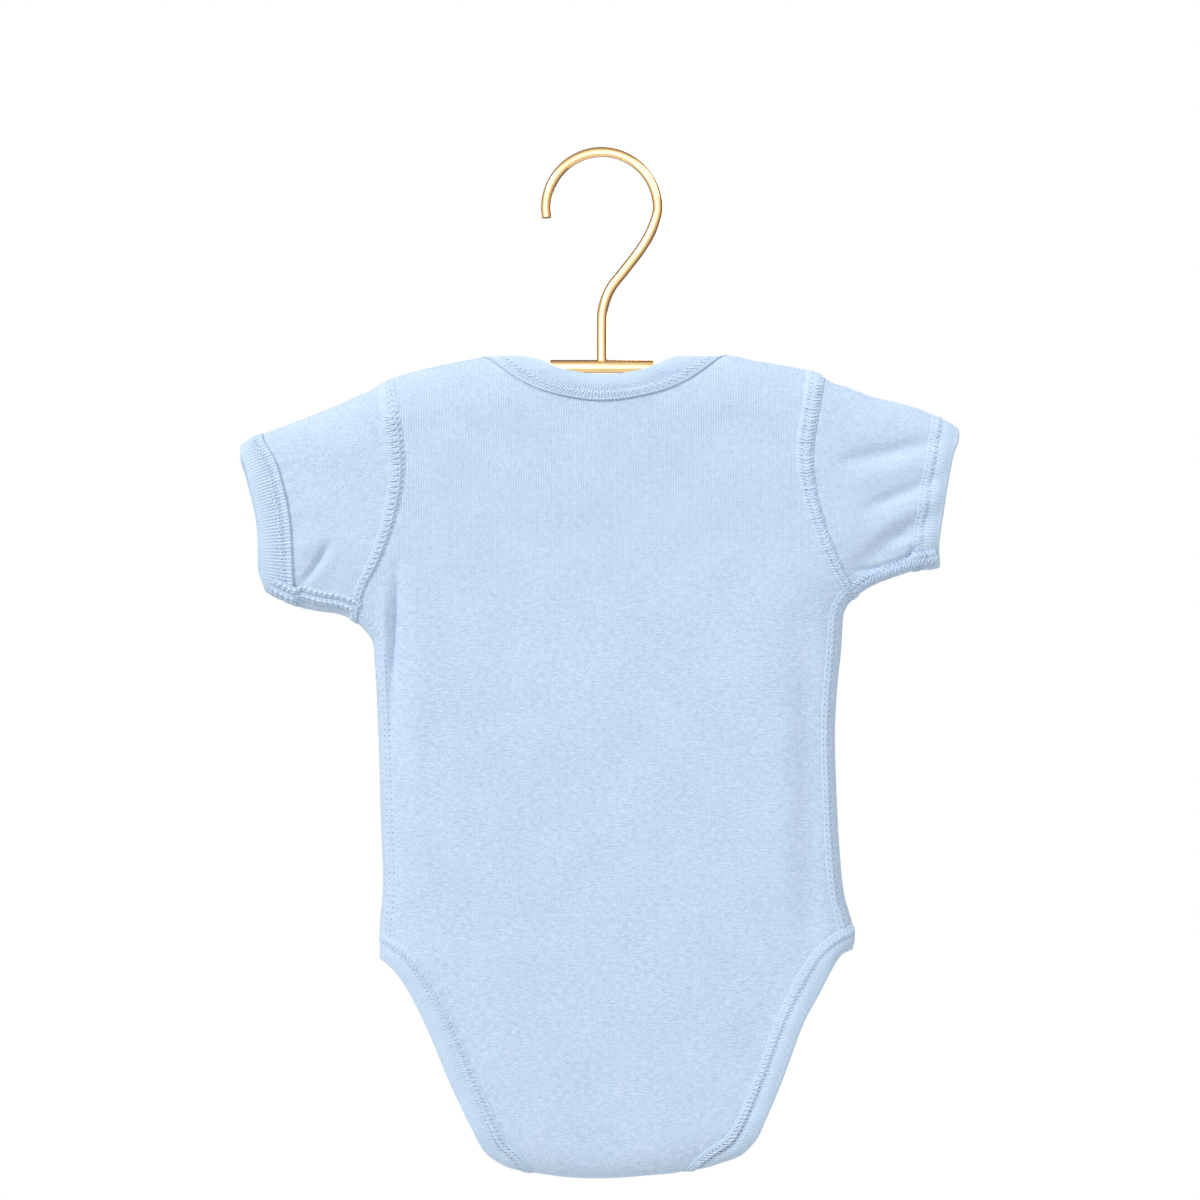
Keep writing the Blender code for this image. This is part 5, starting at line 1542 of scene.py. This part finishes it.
def strokes(patch, low, high, pitch, start, lean):
    """Parallel threads that cross a seam at a slant, a little unevenly."""
    paths = []
    share, rise = np.array(STROKE).T
    for index in range(ceil(start / pitch), int(patch.length / pitch) + 1):
        slip, stray = (ripple(np.array([index * pitch * step]), 2.0)[0] for step in (1.0, 3.7))
        across = low + (high - low) * share + 0.4 * stray
        along = index * pitch + lean * (share - 0.5) * (1 + 0.7 * stray) + 0.35 * slip
        paths.append(patch.place(along, across, rise + 0.1 * slip))
    return paths


# %% Coverstitch on every binding
def coverstitch(name, patch, band):
    """Two needle rows, and a looper thread between them."""
    paths = [path for needle in band.needles for path in needle_row(patch, needle, band.stitch)]
    near, far = band.needles
    paths.append(looper(patch, near + 0.35, far - 0.35, band.stitch, 0.0, 0.16))
    return thread_tubes(name, paths, [0.2] * (len(paths) - 1) + [0.25])


sewing = {name: coverstitch(f"{name}_coverstitch", bound.patch, bound.band)
          for name, bound in BANDS.items()}

# %% [markdown]
# ## Flatlock bands
# A flatlock seam is a little ridge of its own, because two cut edges lie over each other
# under the threads. It is made as a low domed strip over the seam line, then covered with a
# lattice of threads: rows of needle dashes along it and loopers that cross it. The armhole
# seams carry the most thread. The side seams are pressed flatter and show mostly their pits.
# The seams under the sleeves were sewn last, so they run on over the cuff bindings.

# %% Flatlock strips
FLATLOCK_STITCH = 2.65
LOCK_STEP = 0.8         # spacing of the points along a band
# Half the width, the height of the ridge and the roundness of its edges, rows of pits, a
# groove, rows of dashes, loops (from, to, pitch), slanted threads (from, to, pitch, slant),
# the radii of the dashes and of the other threads, how much of the seam's start shows only
# pits, and how much painted shade darkens the sewn part, the groove and the two edges.
Lock = namedtuple("Lock", "half rise ease rows groove dashes loops slants dash radius bare dark")
SIDE_LOCK = Lock(2.7, 0.35, 1.5, (-1.2, 1.2), None, (), ((-0.9, 0.9, 2.65),), (), 0.1, 0.14,
                 0, (0, 0, 0, 0))
LOCKS = {
    "armhole_left": Lock(3.6, 0.6, 0.8, (-2.4, -0.5), None, (-1.45,),
                         ((-2.8, 0.4, 2.65), (2.8, -0.3, 2.65)), (), 0.3, 0.35,
                         20, (0.1, 0, 0.1, 0)),
    "armhole_right": Lock(3.5, 0.8, 0.8, (-1.2, 2.3), None, (), (),
                          ((-2.9, 0.2, 1.55, 1.6), (-0.1, 3.0, 1.55, -1.8)), 0.3, 0.24,
                          8, (0.0, 0, 0, 0.3)),
    "side_left": SIDE_LOCK,
    "side_right": SIDE_LOCK,
    "underarm_left": Lock(4.0, 0.8, 0.6, (-3.3,), 0.6, (-1.2, 2.6), (),
                          ((-2.9, -0.2, 2.65, 1.2), (0.9, 3.4, 2.65, -1.2)), 0.55, 0.3,
                          0, (0.1, 0.5, 0, 0.2)),
    "underarm_right": Lock(3.4, 0.8, 0.6, (-2.6, 0.5), None, (), (),
                           ((-2.8, 0.3, 1.7, 2.6), (0.0, 2.8, 1.7, -1.6)), 0.42, 0.35,
                           0, (0.05, 0, 0, 0.6)),
}
# How much further in the seam under a sleeve lies, on the sleeve and on its binding.
UNDERARM_SHIFT = {"left": (1.4, -1.0), "right": (-0.9, 0.2)}


def columns(lock):
    """Where the columns of points of a flatlock strip lie, across it."""
    inner = lock.half - 1.0
    groove = () if lock.groove is None else lock.groove + np.array((-0.5, 0.0, 0.5))
    return np.unique(np.round(np.concatenate((
        np.linspace(-inner, inner, 7), (-lock.half, -lock.half + 0.5, lock.half - 0.5, lock.half),
        lock.rows, groove)), 2))


# %% One flatlock strip and its threads
ROW_DENT, GROOVE_DENT = 0.15, 0.4       # how deep a row of pits and a groove are pressed in
WOBBLE = 0.08           # how uneven the ridge's height is
EDGE_TUCK, UNDERSIDE = -0.2, -0.3       # where a strip's edges and its lower side lie
SEAM_CREST_THIN = 0.85  # share of the ridge that is pulled away on a fold's crest


def ridge(lock, spread):
    """A strip's section: its height, the distance to its needle rows and its painted shade."""
    height = lock.rise * np.clip(1 - (spread / lock.half) ** 2, 0, 1) ** lock.ease
    row_gap = np.min([np.abs(spread - row) for row in lock.rows], axis=0)
    height = height - ROW_DENT * (row_gap < 0.1)
    # painted shade: darker lines along the strip's edges and in its groove
    _, groove_shade, low_edge_shade, high_edge_shade = lock.dark
    shade = (low_edge_shade * np.clip(1.6 - (lock.half + spread) / 0.6, 0, 1)
             + high_edge_shade * np.clip(1.4 - (lock.half - spread) / 0.9, 0, 1))
    if lock.groove is not None:
        height = height - GROOVE_DENT * np.exp(-((spread - lock.groove) / 0.5) ** 2)
        shade = shade + groove_shade * (np.abs(spread - lock.groove) < 0.1)
    return height, row_gap, shade


def flatlock(name, places, normals, closed=False):
    """A domed strip along a seam, from rows of points on the cloth, and its threads."""
    lock = LOCKS[name]
    spread = columns(lock)
    dome, row_gap, shade = ridge(lock, spread)
    dome = dome[:, None] + WOBBLE * ripple(np.arange(places.shape[1]) * LOCK_STEP, len(name))[None]
    dome[[0, -1]] = EDGE_TUCK
    thin = 1 - SEAM_CREST_THIN * crest_share(normals[len(normals) // 2])
    upper = places + normals * (dome * thin + 0.05)[:, :, None]
    lower = places + normals * UNDERSIDE
    ring = np.concatenate((upper, lower[::-1]), axis=0).transpose(1, 0, 2)
    patch = Patch(upper, normals, spread, closed)
    # painted shade over the sewn part between the threads, once the bare start is passed
    starting = np.clip((patch.along[:len(ring)] - lock.bare) / 6, 0, 1)
    shade = shade + lock.dark[0] * starting[:, None]
    numbers = [np.hstack((part, part[..., ::-1])) for part in (spread, row_gap, shade)]
    strip = add_strip(f"{name}_seam", ring, seam, patch, numbers, FLATLOCK_STITCH, closed)
    paths = [path for row in lock.dashes for path in needle_row(patch, row, FLATLOCK_STITCH)]
    radii = [lock.dash] * len(paths)
    paths += [looper(patch, low, high, pitch, lock.bare, 0.15) for low, high, pitch in lock.loops]
    for low, high, pitch, lean in lock.slants:
        paths += strokes(patch, low, high, pitch, lock.bare, lean)
    radii += [lock.radius] * (len(paths) - len(radii))
    return strip, thread_tubes(f"{name}_threads", paths, radii)


# %% Where the flatlock bands run
def armhole_flatlock(side):
    """The seam all round an armhole, down the back and up the front."""
    sleeve = SLEEVES[side]
    spread = columns(LOCKS[f"armhole_{side}"])
    shares = [(across / sleeve.length, 0.0) for across in spread]
    count = round(length(sleeve.line(0.0)) / LOCK_STEP)
    back, front = sleeve.rings(shares, count)
    lap_end = -TOP[side].past(NECK[BACK][0][[END[side]]])[0] + 2.0
    places, normals = [], []
    for row, across in enumerate(spread):
        laid = [lie(back[row], BACK), lie(front[row], FRONT)]
        body_share = np.clip(0.5 - across / 3.0, 0, 1)
        below_lap = np.clip((TOP[side].past(front[row]) - lap_end) / 3.0, 0, 1)
        level = level_under(front[row], FRONT) * below_lap * body_share
        sunk = laid[1][0] + laid[1][1] * level[:, None]
        places.append(np.vstack((laid[0][0], sunk)))
        normals.append(np.vstack((laid[0][1], laid[1][1])))
    return flatlock(f"armhole_{side}", np.array(places), np.array(normals), closed=True)


def along_fold(name, fold, stations, shift, lift):
    """A band on the back along a fold, shifted in and lifted station by station."""
    places, normals = [], []
    for across in columns(LOCKS[name]):
        place, normal = lie(fold.beside(stations, shift + across), BACK)
        places.append(place + normal * pulled_thin(lift, normal)[:, None])
        normals.append(normal)
    return flatlock(name, np.array(places), np.array(normals))


def side_flatlock(side):
    """The seam down one side of the body, from the armpit to the leg binding."""
    fold = SIDE[side]
    first = fold.where(SLEEVES[side].armhole[-1]) + 1.0
    last = fold.where(LEGS[side][0][-1, -1]) + 2.0
    stations = np.linspace(first, last, round((last - first) / LOCK_STEP) + 1)
    return along_fold(f"side_{side}", fold, stations, SEAM_PAST, 0.0)


def underarm_flatlock(side):
    """The seam under one sleeve, from the armpit over the cuff binding to its fold."""
    sleeve = SLEEVES[side]
    first, last = (ends[1] for ends in sleeve.ends)
    way = copysign(1.0, last - first)
    stations = np.linspace(first + way * 1.0, last + way * 0.3, 90)
    onto = np.clip((sleeve.band - np.abs(last - stations)) / 2.5, 0, 1)
    on_sleeve, on_band = UNDERARM_SHIFT[side]
    shift = SEAM_PAST + on_sleeve + (on_band - on_sleeve) * onto
    return along_fold(f"underarm_{side}", SIDE[side], stations, shift, onto * (OUTER + 0.4))


# %% All the flatlock bands
seams = {}
for side in SIDES:
    seams[f"armhole_{side}"] = armhole_flatlock(side)
    seams[f"side_{side}"] = side_flatlock(side)
    seams[f"underarm_{side}"] = underarm_flatlock(side)

# %% [markdown]
# ## Snaps
# Three ring snaps close the crotch. What shows is the cap: a thin pressed disc with a raised
# rim and a shallow dish. The end of a short cylinder is inset in steps, down from the rim and
# up again in the dish. A bevel softens the edges, and the post and socket join the cap to the
# ring inside the flap.

# %% Tools for turned and bent metal
def soften(piece, width, sharp_from, smooth_under):
    """Bevels a piece's sharp edges, and shades the rest smooth; angles are in degrees."""
    bpy.context.view_layer.objects.active = piece
    bevel = piece.modifiers.new("soft edges", "BEVEL")
    bevel.width, bevel.segments, bevel.limit_method = width * MM, 3, "ANGLE"
    bevel.angle_limit = radians(sharp_from)
    bpy.ops.object.modifier_apply(modifier=bevel.name)
    piece.select_set(True)
    bpy.ops.object.shade_smooth_by_angle(angle=radians(smooth_under))
    piece.select_set(False)


def add_disc(radius, low, high, x, z, vertices=40):
    """A short cylinder along Y, from one depth to another, in millimetres."""
    bpy.ops.mesh.primitive_cylinder_add(
        vertices=vertices, radius=radius * MM, depth=(high - low) * MM,
        location=(x * MM, (low + high) / 2 * MM, z * MM), rotation=(pi / 2, 0, 0))
    disc = bpy.context.object
    bpy.ops.object.transform_apply(location=True, rotation=True, scale=True)
    return disc


def select_face(disc, towards):
    """Selects the one face that looks along +Y or -Y, in edit mode."""
    bpy.ops.object.mode_set(mode="EDIT")
    bpy.ops.mesh.select_all(action="DESELECT")
    bpy.ops.object.mode_set(mode="OBJECT")
    flat = [face for face in disc.data.polygons if face.normal.y * towards > 0.9]
    max(flat, key=lambda face: face.center.y * towards).select = True
    bpy.ops.object.mode_set(mode="EDIT")


# %% One snap, and three copies
SNAP_MIDDLE, SNAP_SPACING, SNAP_LIFT = (2.0, -451.6), 27.0, 1.6
CAP_RADIUS, POST_RADIUS, SOCKET_RADIUS = 5.0, 2.2, 4.2
CAP_THICK, RING_THICK = 1.1, 0.9        # the cap on the tab, and the ring inside the flap
# Each step from a cap's edge to its middle: how far in it goes, and how far up or down.
PRESSING = ((0.9, 0.0), (0.5, -0.4), (1.2, 0.0), (0.4, 0.22), (1.0, 0.1))
SUNK = 0.2              # how far the post reaches into the cap and the ring


def pressed_cap(low, high, x, z, towards):
    """A cap with a raised rim and a dished middle."""
    cap = add_disc(CAP_RADIUS, low, high, x, z)
    select_face(cap, towards)
    for inwards, rise in PRESSING:
        bpy.ops.mesh.inset(thickness=inwards * MM, depth=rise * MM)
    bpy.ops.object.mode_set(mode="OBJECT")
    return cap


def make_snap(name, x, z, node):
    """One closed snap through the tab and the flap."""
    cap_low, tab_under = HALF_DEPTH + SEAM_GAP, HALF_DEPTH - CLOTH
    flap_top = HALF_DEPTH - BOUND_DEPTH
    ring_high = flap_top - CLOTH - SEAM_GAP
    parts = [pressed_cap(cap_low, cap_low + CAP_THICK, x, z, 1),
             add_disc(POST_RADIUS, ring_high - SUNK, cap_low + SUNK, x, z, 24),
             add_disc(SOCKET_RADIUS, flap_top + SEAM_GAP, tab_under - SEAM_GAP, x, z),
             pressed_cap(ring_high - RING_THICK, ring_high, x, z, -1)]
    for part in parts:
        part.select_set(True)
    bpy.context.view_layer.objects.active = parts[0]
    bpy.ops.object.join()
    snap = bpy.context.object
    snap.name = snap.data.name = name
    soften(snap, 0.16, 30, 35)
    snap.data.materials.append(nickel.material)
    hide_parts(node)
    return snap


snaps = [make_snap(f"ring_{node}", SNAP_MIDDLE[0] + index * SNAP_SPACING,
                   SNAP_MIDDLE[1] + abs(index) * SNAP_LIFT, node)
         for index, node in ((-1, "snap_left"), (0, "snap_middle"), (1, "snap_right"))]
print("snap faces:", [len(snap.data.polygons) for snap in snaps])

# %% [markdown]
# ## The hanger
# The hook is one bent wire and the bar a turned rod. A round wire is best drawn as a curve
# with a round bevel, because its thickness then stays true through every bend. It is made a
# mesh, and its cut end is softened with a bevel. The rods inside the shoulders are already
# right, so those nodes stay and only take the brass.

# %% The hook
WIRE, BAR, BAR_HALF_LENGTH, BAR_HEIGHT = 4.65, 6.0, 24.0, -97.4
HOOK_RADIUS = 26.0
HOOK_TURN = (190, -6, -12)      # degrees: from the free end, past the stem's start, in steps
STEM = ((22.6, -35.0), (17.6, -43.4), (10.2, -53.0), (3.6, -61.8), (0.4, -71.0), (0.0, -80.0))


def hook_route():
    """From the free end, round the peg, and down into the bar."""
    centre = HOOK_RADIUS - WIRE / 2
    bend = [(HOOK_RADIUS * cos(turn), -centre + HOOK_RADIUS * sin(turn))
            for turn in np.radians(np.arange(*HOOK_TURN))]
    foot = (0.0, BAR_HEIGHT + BAR / 2 - 0.6)
    return [tuple(point) for point in smooth([*bend, *STEM, foot], 1.4)]


bpy.ops.curve.primitive_bezier_curve_add(location=(0, 0, 0))
hook_curve = bpy.context.object
hook_curve.data.splines.clear()
spline = hook_curve.data.splines.new("POLY")
route = hook_route()
spline.points.add(len(route) - 1)
for point, (x, z) in zip(spline.points, route):
    point.co = (x * MM, 0.0, z * MM, 1.0)
hook_curve.data.bevel_depth = WIRE / 2 * MM
hook_curve.data.bevel_resolution = 6
hook_curve.data.use_fill_caps = True
bpy.ops.object.convert(target="MESH")
hook = bpy.context.object
hook.name = hook.data.name = "bent_hook"
bpy.ops.object.mode_set(mode="EDIT")
bpy.ops.mesh.select_all(action="SELECT")
bpy.ops.mesh.remove_doubles(threshold=1e-6)
bpy.ops.mesh.normals_make_consistent(inside=False)
bpy.ops.object.mode_set(mode="OBJECT")
soften(hook, 0.5, 60, 40)
hook.data.materials.append(brass.material)
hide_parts("hanger_hook")
print("hook wire length in mm:", round(length(np.array(route)), 1))

# %% Bar and rods
bpy.ops.mesh.primitive_cylinder_add(vertices=48, radius=BAR / 2 * MM,
                                    depth=2 * BAR_HALF_LENGTH * MM,
                                    location=(0, 0, BAR_HEIGHT * MM), rotation=(0, pi / 2, 0))
bar = bpy.context.object
bar.name = bar.data.name = "turned_bar"
bpy.ops.object.transform_apply(location=True, rotation=True, scale=True)
soften(bar, 0.35, 60, 40)
bar.data.materials.append(brass.material)
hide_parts("hanger_bar")
for side in SIDES:
    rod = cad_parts[f"hanger_rod_{side}"]
    rod.data.materials.clear()
    rod.data.materials.append(brass.material)

# %% [markdown]
# ## Who rides on what
# Everything is one body, because cloth has no joints. The pieces are listed by the slot that
# their finish stands for.

SLOTS = {"jersey": [back_body, front_body, *(cloth for cloth, _ in sleeve_cloths.values()),
                    *(strip for strip, _ in seams.values()),
                    *(threads for _, threads in seams.values())],
         "rib": [*(bound.piece for bound in BANDS.values()), *sewing.values()],
         "snap": snaps, "brass": [hook, bar]}
for slot, pieces in SLOTS.items():
    for piece in pieces:
        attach(piece, "root")
for piece in SLOTS["jersey"] + SLOTS["rib"]:
    piece.visible_glossy = False    # the bar mirrors the bright room, not the dark neck opening
print("pieces:", {slot: len(pieces) for slot, pieces in SLOTS.items()})

print("sheets:", 2 + len(sleeve_cloths) + len(BANDS))

# %% [markdown]
# ## Stage, light and camera
# The garment hangs in a pale, bright room. A pale floor lies well below it. The light is soft
# and high, from the camera's left, with a weak fill from its right, so that creases have a lit
# and a shaded side. A third lamp lights the far side. The sky is white where the camera sees
# it and dimmer where it lights the cloth, which keeps the colour from washing out.

# %% Floor and world
bpy.ops.mesh.primitive_plane_add(size=2.2, location=(0, 0, -1.05))
floor = bpy.context.object
floor.name = "pale_floor"
floor.select_set(False)
floor_finish = Finish("pale floor", (0.86, 0.86, 0.855), Roughness=0.7)
place = floor_finish.add("ShaderNodeTexCoord", "Object")
floor_finish.colours(floor_finish.noise(place, 3.0), (0.84, 0.84, 0.835), (0.88, 0.88, 0.875))
floor.data.materials.append(floor_finish.material)
floor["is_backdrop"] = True


# %% The bright room
def ramp(graph, factor, stops):
    """Colours by a factor from 0 to 1: each stop is a position and a colour."""
    colour = graph.add("ShaderNodeValToRGB", 0, {0: factor})
    elements = colour.node.color_ramp.elements
    for element, (position, tint) in zip((elements[0], elements[-1]), (stops[0], stops[-1])):
        element.position, element.color = position, (*tint, 1.0)
    for position, tint in stops[1:-1]:
        elements.new(position).color = (*tint, 1.0)
    return colour


# What lights the cloth: dim and warm below, and bright on the lit side.
SKY_WAY = (-0.09, -0.36, 0.34)
SKY_STOPS = ((0.1, (0.36, 0.33, 0.30)), (0.8, (1.04, 1.05, 1.08)))
# What the metal mirrors: a brown far side, and a window's glow near the lamps.
ROOM_WAY = (-0.36, -0.90, -0.22)
ROOM_STOPS = ((0.0, (0.16, 0.11, 0.07)), (0.36, (0.34, 0.25, 0.17)), (0.60, (0.85, 0.80, 0.72)),
              (0.82, (1.1, 1.08, 1.0)), (0.91, (2.6, 2.6, 2.6)), (1.0, (3.2, 3.2, 3.2)))
AMBIENT = 0.47

world = bpy.data.worlds.new("bright room")
bpy.context.scene.world = world
world.use_nodes = True
sky = Graph(world.node_tree)
backdrop = sky.tree.nodes["Background"]
backdrop.inputs["Color"].default_value = (1.0, 1.0, 1.0, 1.0)
way = sky.add("ShaderNodeTexCoord", "Generated")
lit = sky.add("ShaderNodeVectorMath", "Value", {0: way, 1: SKY_WAY}, operation="DOT_PRODUCT")
seen = sky.add("ShaderNodeVectorMath", "Value", {0: way, 1: ROOM_WAY}, operation="DOT_PRODUCT")
ambient = sky.add("ShaderNodeBackground", 0, {
    "Color": ramp(sky, sky.math("ADD", lit, 0.5), SKY_STOPS), "Strength": AMBIENT})
mirrored = sky.add("ShaderNodeBackground", 0, {
    "Color": ramp(sky, sky.math("MULTIPLY_ADD", seen, 0.5, 0.5), ROOM_STOPS)})
around = sky.add("ShaderNodeMixShader", 0, {
    0: sky.add("ShaderNodeLightPath", "Is Glossy Ray"), 1: ambient, 2: mirrored})
whole = sky.add("ShaderNodeMixShader", 0, {
    0: sky.add("ShaderNodeLightPath", "Is Camera Ray"), 1: around, 2: backdrop.outputs[0]})
sky.tree.links.new(whole, sky.tree.nodes["World Output"].inputs["Surface"])
print("nodes in the room:", len(sky.tree.nodes))


# %% Lamps
def soft_lamp(name, location, aim, size, power, colour):
    """A square area lamp that looks at a point."""
    data = bpy.data.lights.new(name, "AREA")
    data.shape = "SQUARE"
    data.size, data.energy, data.color = size, power, colour
    lamp = bpy.data.objects.new(name, data)
    bpy.context.scene.collection.objects.link(lamp)
    lamp.location = location
    lamp.rotation_euler = (Vector(aim) - Vector(location)).to_track_quat("-Z", "Y").to_euler()


middle = (0.0, 0.0, -0.27)
soft_lamp("key", (-2.25, -1.85, 1.7), middle, 0.9, 81.0, (1.0, 0.99, 0.975))
soft_lamp("fill", (1.1, -1.0, 0.9), middle, 0.8, 11.0, (0.97, 0.985, 1.0))
soft_lamp("far side", (0.9, 2.2, 0.9), middle, 1.6, 40.0, (1.0, 0.99, 0.97))
print("lamps:", [lamp.name for lamp in bpy.data.lights])

# %% Camera
PIXEL = 0.465e-3            # size of one pixel of the picture at the garment, in metres
PICTURE = 1200              # the picture's width, in pixels
AIM = (-2, -443)            # its middle, in pixels across and up from the hook's inside
DISTANCE, SENSOR = 1.0, 36.0
camera_data = bpy.data.cameras.new("camera")
camera_data.sensor_width = SENSOR
camera_data.lens = SENSOR / 2 / (PIXEL * PICTURE / 2 / DISTANCE)
camera = bpy.data.objects.new("camera", camera_data)
bpy.context.scene.collection.objects.link(camera)
camera.location = (AIM[0] * PIXEL, -DISTANCE, AIM[1] * PIXEL)
camera.rotation_euler = (pi / 2, 0, 0)
bpy.context.scene.camera = camera
bpy.context.scene.view_settings.view_transform = "Standard"
bpy.context.scene.view_settings.look = "None"
print("lens in mm:", round(camera_data.lens, 2))

# %% [markdown]
# ## Both boxes
# The dressed model has to stay within the imported one, apart from the little that cloth may
# stand proud, so both boxes are kept side by side.

# %% Keep both boxes and finish
dressed_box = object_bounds()
for name, box in (("solids", solid_box), ("dressed", dressed_box)):
    print(name, [[round(value * 1000, 1) for value in corner] for corner in box])
